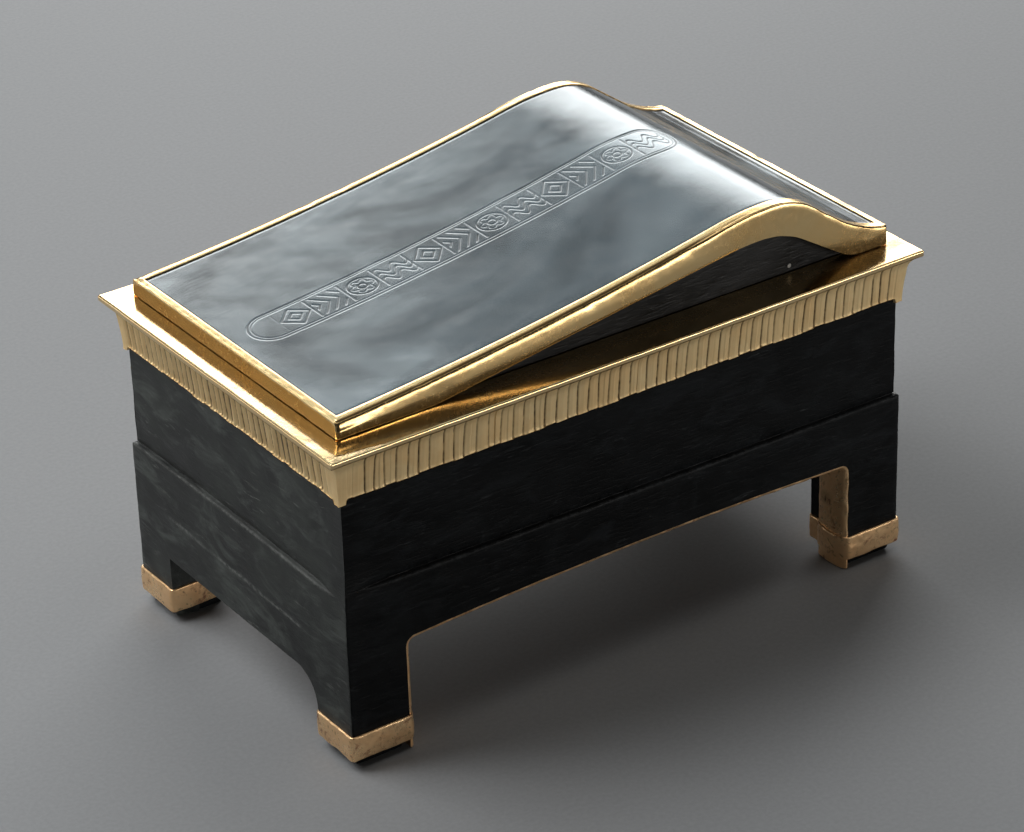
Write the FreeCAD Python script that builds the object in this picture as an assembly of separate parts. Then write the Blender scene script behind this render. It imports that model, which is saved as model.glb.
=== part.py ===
import FreeCAD, Part
import math
import os
from FreeCAD import Vector

# A casket-shaped desk inkwell: an ebony box on four legs, gilt mouldings and
# shoes, two glass wells in a carrier plate, and a hinged wedge-shaped lid.
# Millimetres, +Z up. The origin is on the table below the middle of the box.
# +X points to the lid's high, curled end and -Y is the front long side.

# ---- driving dimensions: case ----
CASE_L = 150.0          # over the legs, along X
CASE_W = 89.0           # over the legs, along Y
BOARD_T = 7.0           # case boards at the apron
STEP_IN = 1.0           # the boards are thinner above the step
STEP_Z = 41.8
BOARD_TOP = 66.6
LEG_X = 14.6
LEG_Y = 13.6
FRONT_ARCH_END = 28.0   # apron's lower edge on the long sides, at the legs
FRONT_ARCH_MID = 29.5   # the same at mid length
FRONT_CORNER_R = 2.5
END_APRON_Z = 16.8      # apron's lower edge on the short sides
END_CORNER_R = 8.0      # the large hollow corner beside each front leg
FLOOR_Z = 30.5
FLOOR_T = 4.0

# ---- driving dimensions: feet and gilt shoes ----
FOOT_H = 2.5
FOOT_IN = 1.5           # the bare foot is this much inside the leg
SHOE_TOP = 8.8
SHEET_T = 0.6           # gilt sheet of the shoes and the cornice
STRIP_W = 10.0          # half-round strip lining the long sides' openings
STRIP_T = 1.6
STRIP_SET_IN = 0.3      # strip's edge behind the case's face
STRIP_LIFT = 0.3        # the strip's ends stop short of the table

# ---- driving dimensions: cornice and top plate ----
PLATE_L = 156.8
PLATE_W = 95.8
PLATE_TOP = 77.9
PLATE_T = 1.4
COVE_FOOT = 0.95        # the moulding's foot, in front of the boards' upper face
COVE_LEAN = 6.3         # degrees by which its straight lower part leans out
COVE_BEND_H = 6.5       # height at which it turns into a tight hollow
PLATE_LIP = 0.2         # plate's edge beyond the moulding's upper edge
SEAM_X = 1.0            # butt joint in the front sheet of the cornice
RAIL_REACH = 21.4       # rails' inner edge, in from the plate's edge
RAIL_LEDGE = 3.0        # ledge that carries the well plate
RAIL_BASE_Z = 69.3
LEDGE_Z = 72.2
WALL_D = 10.4           # case boards' inner face, in from the plate's edge

# ---- driving dimensions: wells ----
CARRIER_T = 1.2
CARRIER_GAP = 0.3
WELL_X = 30.0           # wells stand this far left and right of the middle
JAR_R = 21.0
JAR_WALL = 2.4
JAR_BASE_Z = 36.5
JAR_BASE_T = 3.5
FLANGE_R = 23.5
FLANGE_T = 1.8
JAR_HOLE_GAP = 0.3
COLLAR_R = 25.3
COLLAR_MOUTH_R = 16.8
COLLAR_T = 1.1

# ---- driving dimensions: lid ----
LID_X0, LID_X1 = -71.9, 73.9
LID_Y0, LID_Y1 = -40.4, 43.6
LID_GAP = 0.15          # lid's underside above the top plate
LID_CORNER_R = 0.9
RIM_W = 3.0             # top of the rim at the front and back
LOW_RIM_W = 1.85        # and at the two ends
HIGH_RIM_W = 1.75
SLAB_SINK = 0.25        # panel lies this far below the rim's top
SLAB_T = 2.2
CREST_X = 41.5
CREST_H = 19.2          # crest above the top plate
LOW_END_H = 4.0
FRONT_R = 67.5          # convex arc on the slope's side of the crest
FRONT_TURN = 11.4
TAIL_R = 19.0           # convex arc on the tail's side of the crest
TAIL_TURN = 36.0
TAIL_HOLLOW_R = 31.0    # hollow arc that flattens the tail
TAIL_END_TURN = 8.0
UNDER_X, UNDER_H = 38.0, 11.9      # highest point of the rim's lower edge
UNDER_FRONT = (62.0, 8.25, 25.0)   # convex radius, slope angle, hollow radius
UNDER_TAIL = (22.0, 32.0, 12.0)
PIN_X, PIN_H, PIN_R = 48.0, 1.6, 0.5
LID_OPEN_DEG = 105.0

# ---- driving dimensions: hinges ----
HINGE_X = 30.0          # hinge centres, left and right of the middle
HINGE_LEN = 16.0
BARREL_R = 1.05
BARREL_OUT = 1.4        # barrel's axis behind the lid's back face
BARREL_CLEAR = 0.1      # barrel above the top plate
PIN_AXLE_R = 0.45
PIN_PLAY = 0.05
LEAF_T = 0.8
KNUCKLE = 5.2           # length of the lid's knuckle
KNUCKLE_GAP = 0.15
BASE_LEAF_OUT = 2.45    # base leaf behind the barrel's axis
LID_LEAF_IN = 11.5      # lid leaf in front of the barrel's axis
SCREW_R, SCREW_HEAD_R, SCREW_LEN = 0.4, 0.85, 3.4
SCREW_SPACING = 10.0
RIVET_HEAD_R, RIVET_HEAD_H = 0.6, 0.4
RIVET_EDGE = 0.65      # rivet centres in from the base leaf's back edge

PLATE_UNDER = PLATE_TOP - PLATE_T
BODY_D = PLATE_L / 2 - CASE_L / 2 + STEP_IN
INNER_X = CASE_L / 2 - BOARD_T
INNER_Y = CASE_W / 2 - BOARD_T
LID_BASE = PLATE_TOP + LID_GAP
HINGE_Y = LID_Y1 + BARREL_OUT
HINGE_Z = PLATE_TOP + BARREL_CLEAR + BARREL_R
FAR = 200.0


def box(x0, x1, y0, y1, z0, z1):
    return Part.makeBox(x1 - x0, y1 - y0, z1 - z0, Vector(x0, y0, z0))


def rod(r, h, x, y, z, direction=Vector(0, 0, 1)):
    return Part.makeCylinder(r, h, Vector(x, y, z), direction)


def sweep(edges, direction):
    return Part.Face(Part.Wire(edges)).extrude(direction)


def outline(points):
    return Part.makePolygon(points + points[:1]).Edges


def arc(a, middle, b):
    return Part.Arc(a, middle, b).toShape()


def turned(shape, quarter_turns):
    result = shape.copy()
    result.rotate(Vector(0, 0, 0), Vector(0, 0, 1), 90.0 * quarter_turns)
    return result


def save(name, shape):
    shape.removeSplitter().exportStep("parts/%s.step" % name)


# ---- pieces that run round the box with mitred corners ----
# A bar is drawn for the front side: x along the side, d inward from a base
# line and z up. Quarter turns bring it to the right, back and left sides.
SIDES = {"front": 0, "right": 1, "back": 2, "left": 3}


def side_sizes(side, length, width):
    """Length of a side's base line, and its distance from the middle."""
    if side in ("front", "back"):
        return length, width / 2
    return width, length / 2


def mitre_block(side_length, offset, depth):
    """Space of one side, between the diagonal cuts at its two ends."""
    half = side_length / 2
    corners = [(-half, 0), (half, 0), (half - depth, depth), (-half + depth, depth)]
    points = [Vector(x, -offset + d, -1.0) for x, d in corners]
    return sweep(outline(points), Vector(0, 0, FAR))


def mitred(edges_at, depth, side, length, width):
    """Extrude a (d, z) section along one side and cut its ends at 45 degrees."""
    side_length, offset = side_sizes(side, length, width)
    section = edges_at(lambda d, z: Vector(-side_length / 2, -offset + d, z))
    bar = sweep(section, Vector(side_length, 0, 0))
    return turned(bar.common(mitre_block(side_length, offset, depth)), SIDES[side])


# ---- case boards ----
def long_side_opening(bottom):
    """Leg opening of the long sides: a shallow arch with small round corners."""
    half = CASE_L / 2 - LEG_X
    path = [(-half, bottom), (-half, FRONT_ARCH_END), (0, FRONT_ARCH_MID),
            (half, FRONT_ARCH_END), (half, bottom)]
    p = [Vector(x, -FAR / 2, z) for x, z in path]
    edges = [Part.makeLine(p[0], p[1]), arc(p[1], p[2], p[3]), Part.makeLine(p[3], p[4]),
             Part.makeLine(p[4], p[0])]
    opening = sweep(edges, Vector(0, FAR, 0))
    corners = [e for e in opening.Edges
               if e.BoundBox.YLength > FAR / 2 and e.BoundBox.ZMin > FRONT_ARCH_END - 0.001]
    return opening.makeFillet(FRONT_CORNER_R, corners)


def end_opening(front_at_right):
    """Leg opening of the short sides: one hollow corner, beside the front leg."""
    half, r, top = CASE_W / 2 - LEG_Y, END_CORNER_R, END_APRON_Z
    s = 1 if front_at_right else -1
    bend = r * (1 - math.sqrt(0.5))
    at = lambda x, z: Vector(s * x, -FAR / 2, z)
    edges = [Part.makeLine(at(-half, -1), at(-half, top)),
             Part.makeLine(at(-half, top), at(half - r, top)),
             arc(at(half - r, top), at(half - bend, top - bend), at(half, top - r)),
             Part.makeLine(at(half, top - r), at(half, -1)),
             Part.makeLine(at(half, -1), at(-half, -1))]
    return sweep(edges, Vector(0, FAR, 0))


def foot_trim():
    """What is cut off below the shoes so that the bare feet stand in a little."""
    trim = box(-FAR / 2, FAR / 2, -FAR / 2, FAR / 2, -1, FOOT_H)
    x1, y1 = CASE_L / 2, CASE_W / 2
    for sx in (-1, 1):
        for sy in (-1, 1):
            xs = sorted((sx * (x1 - LEG_X + FOOT_IN), sx * (x1 - FOOT_IN)))
            ys = sorted((sy * (y1 - LEG_Y + FOOT_IN), sy * (y1 - FOOT_IN)))
            trim = trim.cut(box(xs[0], xs[1], ys[0], ys[1], -2, FOOT_H + 1))
    return trim


def make_boards():
    def section(at):
        points = [(0, 0), (0, STEP_Z), (STEP_IN, STEP_Z), (STEP_IN, BOARD_TOP),
                  (BOARD_T, BOARD_TOP), (BOARD_T, 0)]
        return outline([at(d, z) for d, z in points])

    trim = foot_trim()
    openings = {"front": long_side_opening(-1), "back": long_side_opening(-1),
                "left": turned(end_opening(True), 3), "right": turned(end_opening(False), 1)}
    for side in SIDES:
        board = mitred(section, BOARD_T, side, CASE_L, CASE_W)
        save(side + "_board", board.cut(openings[side]).cut(trim))
    for sx, across in ((-1, "left"), (1, "right")):
        for sy, along in ((-1, "front"), (1, "back")):
            xs = sorted((sx * (CASE_L / 2 - LEG_X), sx * INNER_X))
            ys = sorted((sy * (CASE_W / 2 - LEG_Y), sy * INNER_Y))
            block = box(xs[0], xs[1], ys[0], ys[1], 0, FLOOR_Z)
            save("%s_%s_leg_block" % (along, across), block.cut(trim))
    save("floor_board", box(-INNER_X, INNER_X, -INNER_Y, INNER_Y, FLOOR_Z, FLOOR_Z + FLOOR_T))


# ---- gilt strips in the long sides' openings, and shoes ----
def strip_section(half, outer_y):
    """Half-round section, flat against the leg, at the foot of its left run."""
    y0, y1 = outer_y, outer_y + STRIP_W
    a, b = Vector(-half, y0, STRIP_LIFT), Vector(-half, y1, STRIP_LIFT)
    crown = Vector(-half + STRIP_T, (y0 + y1) / 2, STRIP_LIFT)
    return Part.Wire([arc(a, crown, b), Part.makeLine(b, a)])


def make_strips():
    outer_y = -CASE_W / 2 + STRIP_SET_IN
    opening = long_side_opening(STRIP_LIFT)
    opening.translate(Vector(0, FAR / 2 + outer_y, 0))
    end_face = min(opening.Faces, key=lambda face: face.BoundBox.YMax)
    edges = [e for e in end_face.Edges if e.BoundBox.ZLength > 0.001]
    path = Part.Wire(Part.sortEdges(edges)[0])
    if path.OrderedVertexes[0].X > 0:
        path.reverse()
    strip = path.makePipeShell([strip_section(CASE_L / 2 - LEG_X, outer_y)], True, False)
    save("front_opening_strip", strip)
    save("back_opening_strip", turned(strip, 2))


def make_shoes():
    """A band of sheet round each leg and over the strip on its inner face."""
    x0, x1 = CASE_L / 2 - LEG_X, CASE_L / 2
    y0, y1 = -CASE_W / 2, -CASE_W / 2 + LEG_Y
    strip_y0 = y0 + STRIP_SET_IN
    strip_mid, strip_y1 = strip_y0 + STRIP_W / 2, strip_y0 + STRIP_W

    def plan(grow):
        at = lambda x, y: Vector(x, y, FOOT_H)
        corners = [at(x0 - grow, strip_y1 + grow), at(x0 - grow, y1 + grow),
                   at(x1 + grow, y1 + grow), at(x1 + grow, y0 - grow),
                   at(x0 - grow, y0 - grow), at(x0 - grow, strip_y0 - grow / 2)]
        edges = [Part.makeLine(a, b) for a, b in zip(corners, corners[1:])]
        crown = at(x0 - STRIP_T - grow, strip_mid)
        return edges + [arc(corners[-1], crown, corners[0])]

    up = Vector(0, 0, SHOE_TOP - FOOT_H)
    shoe = sweep(plan(SHEET_T), up).cut(sweep(plan(0.0), up))
    mirror_x = shoe.mirror(Vector(0, 0, 0), Vector(1, 0, 0))
    save("front_right_shoe", shoe)
    save("front_left_shoe", mirror_x)
    save("back_left_shoe", turned(shoe, 2))
    save("back_right_shoe", turned(mirror_x, 2))


# ---- cornice: wooden rails with a hollow face, gilt sheet over them ----
LEAN = math.radians(COVE_LEAN)
COVE_FOOT_D = BODY_D - COVE_FOOT
BEND_D, BEND_Z = COVE_FOOT_D - COVE_BEND_H * math.tan(LEAN), BOARD_TOP + COVE_BEND_H
COVE_END = 2 * math.atan2(BEND_D - PLATE_LIP, PLATE_UNDER - BEND_Z) - LEAN
COVE_R = (PLATE_UNDER - BEND_Z) / (math.sin(COVE_END) - math.sin(LEAN))
COVE_D, COVE_Z = BEND_D - COVE_R * math.cos(LEAN), BEND_Z - COVE_R * math.sin(LEAN)


def cove_line(at, inset):
    """Face of the moulding, or a line parallel to it behind, from its foot upwards."""
    radius = COVE_R + inset
    end = math.asin((PLATE_UNDER - COVE_Z) / radius)
    foot = at(COVE_FOOT_D + inset / math.cos(LEAN), BOARD_TOP)
    bend, middle, top = [at(COVE_D + radius * math.cos(a), COVE_Z + radius * math.sin(a))
                         for a in (LEAN, (LEAN + end) / 2, end)]
    return foot, top, [Part.makeLine(foot, bend), arc(bend, middle, top)]


def make_cornice():
    def rail_section(at):
        foot, top, face = cove_line(at, SHEET_T)
        points = [(RAIL_REACH - RAIL_LEDGE, PLATE_UNDER), (RAIL_REACH - RAIL_LEDGE, LEDGE_Z),
                  (RAIL_REACH, LEDGE_Z), (RAIL_REACH, RAIL_BASE_Z), (WALL_D, RAIL_BASE_Z),
                  (WALL_D, BOARD_TOP)]
        p = [top] + [at(d, z) for d, z in points] + [foot]
        return [Part.makeLine(a, b) for a, b in zip(p, p[1:])] + face

    def sheet_section(at):
        front_foot, front_top, front = cove_line(at, 0.0)
        back_foot, back_top, back = cove_line(at, SHEET_T)
        return (front + [Part.makeLine(front_top, back_top)] + back[::-1]
                + [Part.makeLine(back_foot, front_foot)])

    for side in SIDES:
        save(side + "_cornice_rail", mitred(rail_section, RAIL_REACH, side, PLATE_L, PLATE_W))
        sheet = mitred(sheet_section, WALL_D, side, PLATE_L, PLATE_W)
        if side != "front":
            save(side + "_cornice_sheet", sheet)
            continue
        right_half = box(SEAM_X, FAR, -FAR, FAR, 0, FAR)
        save("front_left_cornice_sheet", sheet.cut(right_half))
        save("front_right_cornice_sheet", sheet.common(right_half))


def make_top_plate(rivet_holes):
    opening_x = PLATE_L / 2 - RAIL_REACH + RAIL_LEDGE
    opening_y = PLATE_W / 2 - RAIL_REACH + RAIL_LEDGE
    plate = box(-PLATE_L / 2, PLATE_L / 2, -PLATE_W / 2, PLATE_W / 2, PLATE_UNDER, PLATE_TOP)
    plate = plate.cut(box(-opening_x, opening_x, -opening_y, opening_y, 0, FAR))
    save("top_plate", plate.cut(rivet_holes))


# ---- wells: glass jars hung in a gilt carrier plate ----
def make_wells():
    half_x = PLATE_L / 2 - RAIL_REACH + RAIL_LEDGE - CARRIER_GAP
    half_y = PLATE_W / 2 - RAIL_REACH + RAIL_LEDGE - CARRIER_GAP
    seat = LEDGE_Z + CARRIER_T
    carrier = box(-half_x, half_x, -half_y, half_y, LEDGE_Z, seat)
    for sign, name in ((-1, "left"), (1, "right")):
        x = sign * WELL_X
        carrier = carrier.cut(rod(JAR_R + JAR_HOLE_GAP, FAR, x, 0, 0))
        jar = rod(JAR_R, seat - JAR_BASE_Z, x, 0, JAR_BASE_Z).fuse(rod(FLANGE_R, FLANGE_T, x, 0, seat))
        inside = JAR_BASE_Z + JAR_BASE_T
        jar = jar.cut(rod(JAR_R - JAR_WALL, FAR, x, 0, inside))
        save(name + "_ink_jar", jar)
        collar = rod(COLLAR_R, FLANGE_T + COLLAR_T, x, 0, seat)
        collar = collar.cut(rod(FLANGE_R, FLANGE_T, x, 0, seat))
        save(name + "_well_collar", collar.cut(rod(COLLAR_MOUTH_R, FAR, x, 0, 0)))
    save("well_carrier_plate", carrier)


# ---- lid: outlines that run down from a highest point to both sides ----
def run_down(top, side, steps, depth=0.0):
    """Tangent arcs and lines from a level top point; depth gives a parallel line.

    A step is ("over", radius, degrees) where the line bends down,
    ("under", radius, degrees) where it flattens, or ("line", length)."""
    x, z, angle, edges = top[0], top[1] - depth, 0.0, []

    def normal(a):
        return side * math.sin(a), math.cos(a)

    for step in steps:
        start = (x, z)
        if step[0] == "line":
            x, z = x + side * step[1] * math.cos(angle), z - step[1] * math.sin(angle)
            edges.append(Part.makeLine(Vector(start[0], 0, start[1]), Vector(x, 0, z)))
            continue
        s = 1 if step[0] == "over" else -1
        radius, turn = step[1] - s * depth, s * math.radians(step[2])
        nx, nz = normal(angle)
        cx, cz = x - s * radius * nx, z - s * radius * nz
        points = [start]
        for part in (0.5, 1.0):
            nx, nz = normal(angle + part * turn)
            points.append((cx + s * radius * nx, cz + s * radius * nz))
        edges.append(arc(*[Vector(px, 0, pz) for px, pz in points]))
        (x, z), angle = points[2], angle + turn
    return edges, (x, z)


def solid_under(top, slope_steps, tail_steps, depth, floor):
    """Everything below such a line, down to a level floor."""
    low, low_end = run_down(top, -1, slope_steps, depth)
    high, high_end = run_down(top, 1, tail_steps, depth)
    corners = [high_end, (high_end[0], floor), (low_end[0], floor), low_end]
    p = [Vector(x, 0, z) for x, z in corners]
    closing = [Part.makeLine(a, b) for a, b in zip(p, p[1:])]
    shape = sweep(low[::-1] + high + closing, Vector(0, FAR, 0))
    shape.translate(Vector(0, -FAR / 2, 0))
    return shape


def top_line():
    """Top of the rim: long hollow slope, crest, curled tail."""
    sin, cos, rad = math.sin, math.cos, math.radians
    bend_x = CREST_X - FRONT_R * sin(rad(FRONT_TURN))
    bend_h = CREST_H - FRONT_R * (1 - cos(rad(FRONT_TURN)))
    dx, dh = bend_x - LID_X0, bend_h - LOW_END_H
    slope_turn = 2 * (FRONT_TURN - math.degrees(math.atan2(dh, dx)))
    slope_r = math.hypot(dx, dh) / (2 * sin(rad(slope_turn / 2)))
    flat = sin(rad(TAIL_TURN)) - sin(rad(TAIL_END_TURN))
    tail_dx = LID_X1 - CREST_X - TAIL_R * sin(rad(TAIL_TURN)) - TAIL_HOLLOW_R * flat
    slope = [("over", FRONT_R, FRONT_TURN), ("under", slope_r, slope_turn), ("line", 6.0)]
    tail = [("over", TAIL_R, TAIL_TURN), ("line", tail_dx / cos(rad(TAIL_TURN))),
            ("under", TAIL_HOLLOW_R, TAIL_TURN - TAIL_END_TURN), ("line", 6.0)]
    return (CREST_X, PLATE_TOP + CREST_H), slope, tail


def under_line():
    """Lower edge of the rim: level at both ends, raised under the crest."""
    def side_steps(over_r, turn, under_r):
        bend = 1 - math.cos(math.radians(turn))
        drop = UNDER_H - LID_GAP - (over_r + under_r) * bend
        length = drop / math.sin(math.radians(turn))
        return [("over", over_r, turn), ("line", length), ("under", under_r, turn), ("line", 60.0)]

    return (UNDER_X, PLATE_TOP + UNDER_H), side_steps(*UNDER_FRONT), side_steps(*UNDER_TAIL)


def make_lid(leaf_pockets, screw_holes):
    def under_top(depth):
        return solid_under(*top_line(), depth, LID_BASE)

    height = 30.0
    outer = box(LID_X0, LID_X1, LID_Y0, LID_Y1, LID_BASE, LID_BASE + height)
    corners = [e for e in outer.Edges if abs(e.BoundBox.ZLength - height) < 0.001]
    outer = outer.makeFillet(LID_CORNER_R, corners)
    x0, x1 = LID_X0 + LOW_RIM_W, LID_X1 - HIGH_RIM_W
    y0, y1 = LID_Y0 + RIM_W, LID_Y1 - RIM_W
    inner = box(x0, x1, y0, y1, LID_BASE - 1, LID_BASE + height)

    below_slab = under_top(SLAB_SINK + SLAB_T)
    peg = rod(PIN_R, 4.2, PIN_X, y0 - 0.2, PLATE_TOP + PIN_H, Vector(0, 1, 0))
    core = below_slab.common(inner).cut(leaf_pockets).cut(screw_holes).cut(peg)
    save("lid_core", core)
    save("lid_side_pin", peg)
    save("lid_panel", under_top(SLAB_SINK).cut(below_slab).common(inner))

    top, slope, tail = under_line()
    ring = under_top(0.0).common(outer).cut(inner)
    sides = ring.cut(solid_under(top, slope, tail, 0.0, 0.0))
    reach = 10.0 * RIM_W
    for name, x, run in (("low", LID_X0, LOW_RIM_W), ("high", LID_X1, -HIGH_RIM_W)):
        wedge = [Vector(x - run, LID_Y0 - RIM_W, 0), Vector(x - run, LID_Y1 + RIM_W, 0),
                 Vector(x + 10.0 * run, LID_Y1 - reach, 0), Vector(x + 10.0 * run, LID_Y0 + reach, 0)]
        end = sweep(outline(wedge), Vector(0, 0, FAR))
        save("lid_rim_" + name, ring.common(end))
        sides = sides.cut(end)
    save("lid_rim_front", sides.common(box(-FAR, FAR, -FAR, 0, 0, FAR)))
    save("lid_rim_back", sides.common(box(-FAR, FAR, 0, FAR, 0, FAR)))


# ---- two butt hinges behind the lid ----
def countersunk(x, y, z, up):
    """Screw whose flush head lies at height z; its shank points up or down."""
    direction = Vector(0, 0, 1 if up else -1)
    depth = SCREW_HEAD_R - SCREW_R
    head = Part.makeCone(SCREW_HEAD_R, SCREW_R, depth, Vector(x, y, z), direction)
    return head.fuse(rod(SCREW_R, SCREW_LEN, x, y, z, direction))


def make_hinges():
    base_z, lid_z = PLATE_TOP, LID_BASE
    along = Vector(1, 0, 0)
    pockets, screws, rivets = [], [], []
    for sign, name in ((-1, "left"), (1, "right")):
        xc = sign * HINGE_X
        x0, x1 = xc - HINGE_LEN / 2, xc + HINGE_LEN / 2
        k0, k1 = xc - KNUCKLE / 2, xc + KNUCKLE / 2
        barrel = rod(BARREL_R, HINGE_LEN, x0, HINGE_Y, HINGE_Z, along)
        bore = rod(PIN_AXLE_R + PIN_PLAY, HINGE_LEN, x0, HINGE_Y, HINGE_Z, along)
        middle = box(k0, k1, -FAR, FAR, 0, FAR)
        wider = box(k0 - KNUCKLE_GAP, k1 + KNUCKLE_GAP, -FAR, FAR, 0, FAR)
        clear = BARREL_R + KNUCKLE_GAP

        base = box(x0, x1, HINGE_Y, HINGE_Y + BASE_LEAF_OUT, base_z, base_z + LEAF_T)
        gap = box(k0 - KNUCKLE_GAP, k1 + KNUCKLE_GAP, 0, HINGE_Y + clear, 0, FAR)
        base = base.cut(gap).fuse(barrel.cut(wider)).cut(bore)

        flap = box(x0, x1, HINGE_Y - LID_LEAF_IN, HINGE_Y - clear, lid_z, lid_z + LEAF_T)
        neck = box(k0, k1, HINGE_Y - clear, HINGE_Y, lid_z, lid_z + LEAF_T)
        lid_leaf = flap.fuse(neck).fuse(barrel.common(middle)).cut(bore)
        pockets.append(flap)

        for dx in (-SCREW_SPACING / 2, SCREW_SPACING / 2):
            screw = countersunk(xc + dx, HINGE_Y - LID_LEAF_IN + 3.2, lid_z, True)
            screws.append(screw)
            lid_leaf = lid_leaf.cut(screw)
            y = HINGE_Y + BASE_LEAF_OUT - RIVET_EDGE
            shank = rod(SCREW_R, LEAF_T + PLATE_T, xc + dx, y, PLATE_UNDER)
            rivets.append(shank.fuse(rod(RIVET_HEAD_R, RIVET_HEAD_H, xc + dx, y, base_z + LEAF_T)))
            base = base.cut(shank)
        save(name + "_hinge_base_leaf", base)
        save(name + "_hinge_lid_leaf", lid_leaf)
        save(name + "_hinge_pin", rod(PIN_AXLE_R, HINGE_LEN + 0.6, x0 - 0.3, HINGE_Y, HINGE_Z, along))
    Part.makeCompound(screws).exportStep("parts/hinge_lid_screws.step")
    Part.makeCompound(rivets).exportStep("parts/hinge_base_rivets.step")
    return pockets, screws, rivets


def main():
    os.makedirs("parts", exist_ok=True)
    make_boards()
    make_strips()
    make_shoes()
    make_cornice()
    make_wells()
    pockets, screws, rivets = make_hinges()
    make_top_plate(rivets)
    make_lid(pockets, screws)


main()
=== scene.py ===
"""Looks of the casket inkwell: fluted cornice, worn gilt sheet, engraved lid and glass wells."""

import math

import bpy
import numpy as np
from mathutils import Matrix, Vector


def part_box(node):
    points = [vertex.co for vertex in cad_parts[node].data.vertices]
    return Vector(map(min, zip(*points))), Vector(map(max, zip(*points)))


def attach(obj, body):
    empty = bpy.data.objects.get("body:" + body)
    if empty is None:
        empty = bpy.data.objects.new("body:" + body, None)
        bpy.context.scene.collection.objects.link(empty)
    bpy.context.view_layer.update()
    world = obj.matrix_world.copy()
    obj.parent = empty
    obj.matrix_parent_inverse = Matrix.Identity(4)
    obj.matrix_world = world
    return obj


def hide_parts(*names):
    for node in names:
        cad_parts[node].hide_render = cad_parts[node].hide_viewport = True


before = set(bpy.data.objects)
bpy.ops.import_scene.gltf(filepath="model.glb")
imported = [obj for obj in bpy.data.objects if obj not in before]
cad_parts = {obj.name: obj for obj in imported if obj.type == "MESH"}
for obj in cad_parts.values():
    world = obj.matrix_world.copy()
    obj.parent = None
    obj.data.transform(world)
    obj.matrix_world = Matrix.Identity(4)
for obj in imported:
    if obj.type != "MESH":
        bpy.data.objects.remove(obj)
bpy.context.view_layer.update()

MM = 0.001


# ------- sizes, from the frame
def box_mm(node):
    low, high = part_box(node)
    return np.array(low) / MM, np.array(high) / MM


plate_low, plate_high = box_mm("top_plate")
board_low, board_high = box_mm("front_board")
panel_low, panel_high = box_mm("lid_panel")
shoe_low, shoe_high = box_mm("front_left_shoe")
strip_low, strip_high = box_mm("front_opening_strip")
carrier_high = box_mm("well_carrier_plate")[1]

PLATE_X, PLATE_Y, PLATE_TOP = plate_high
PLATE_UNDER = plate_low[2]
CASE_X, CASE_Y, BOARD_TOP = board_high[0], box_mm("left_board")[1][1], board_high[2]
BOARD_T = board_high[1] - board_low[1]
LID_X0, LID_X1 = box_mm("lid_rim_low")[0][0], box_mm("lid_rim_high")[1][0]
LID_Y0, LID_Y1 = box_mm("lid_rim_front")[0][1], box_mm("lid_rim_back")[1][1]
LID_BASE = box_mm("lid_core")[0][2]
PANEL_X0, PANEL_X1 = panel_low[0], panel_high[0]
PANEL_Y0, PANEL_Y1 = panel_low[1], panel_high[1]
RIM_W = PANEL_Y0 - LID_Y0
LOW_RIM_W, HIGH_RIM_W = PANEL_X0 - LID_X0, LID_X1 - PANEL_X1
STRIP_FOOT, OPENING_X = strip_low[2], strip_high[0]
FOOT_H, SHOE_TOP = shoe_low[2], shoe_high[2]

# These repeat the CAD source's own dimensions, in millimetres and degrees.
STEP_Z, STEP_IN = 41.8, 1.0
LEG_X, LEG_Y = 14.6, 13.6
FRONT_ARCH_END, FRONT_ARCH_MID, FRONT_CORNER_R = 28.0, 29.5, 2.5
END_APRON_Z, END_CORNER_R = 16.8, 8.0
FOOT_IN = 1.5
COVE_FOOT, COVE_LEAN, COVE_BEND_H, PLATE_LIP, SHEET_T = 0.95, math.radians(6.3), 6.5, 0.2, 0.6
SEAM_X = 1.0
STRIP_T, STRIP_W = 1.6, 10.0
SLAB_SINK = 0.25
CREST_X, CREST_H, LOW_END_H = 41.5, 19.2, 4.0
FRONT_R, FRONT_TURN = 67.5, 11.4
TAIL_R, TAIL_TURN, TAIL_HOLLOW_R, TAIL_END_TURN = 19.0, 36.0, 31.0, 8.0
UNDER_X, UNDER_H = 38.0, 11.9
UNDER_FRONT, UNDER_TAIL = (62.0, 8.25, 25.0), (22.0, 32.0, 12.0)
# These belong to the finer shape only.
STRIP_SET_IN, STRIP_EDGE, LID_CORNER_R = 0.1, 0.5, 0.9


# ------- mesh helpers
def waves(seed, wavelength, *coords, count=7):
    """Smooth random field between about -1 and 1: a sum of plane waves of one length."""
    r = np.random.default_rng(seed)
    total = 0.0
    for _ in range(count):
        direction = r.normal(size=len(coords))
        direction /= np.linalg.norm(direction)
        k = 2 * math.pi / (wavelength * r.uniform(0.7, 1.5))
        phase = r.uniform(0, 2 * math.pi)
        total = total + np.sin(k * sum(d * c for d, c in zip(direction, coords)) + phase)
    return total / count * 1.6


def hollows(amount, seed, wavelength, *coords):
    """How far a surface is worn or beaten in: a random field from about 0 to twice the amount."""
    return amount * (1 + waves(seed, wavelength, *coords))


def grid_quads(index, wrap_rows=False, wrap_cols=False):
    """Quads between neighbours of a 2-D array of vertex numbers."""
    if wrap_rows:
        index = np.vstack([index, index[:1]])
    if wrap_cols:
        index = np.hstack([index, index[:, :1]])
    a, b, c, d = index[:-1, :-1], index[1:, :-1], index[1:, 1:], index[:-1, 1:]
    return np.stack([a, b, c, d], axis=-1).reshape(-1, 4)


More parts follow.
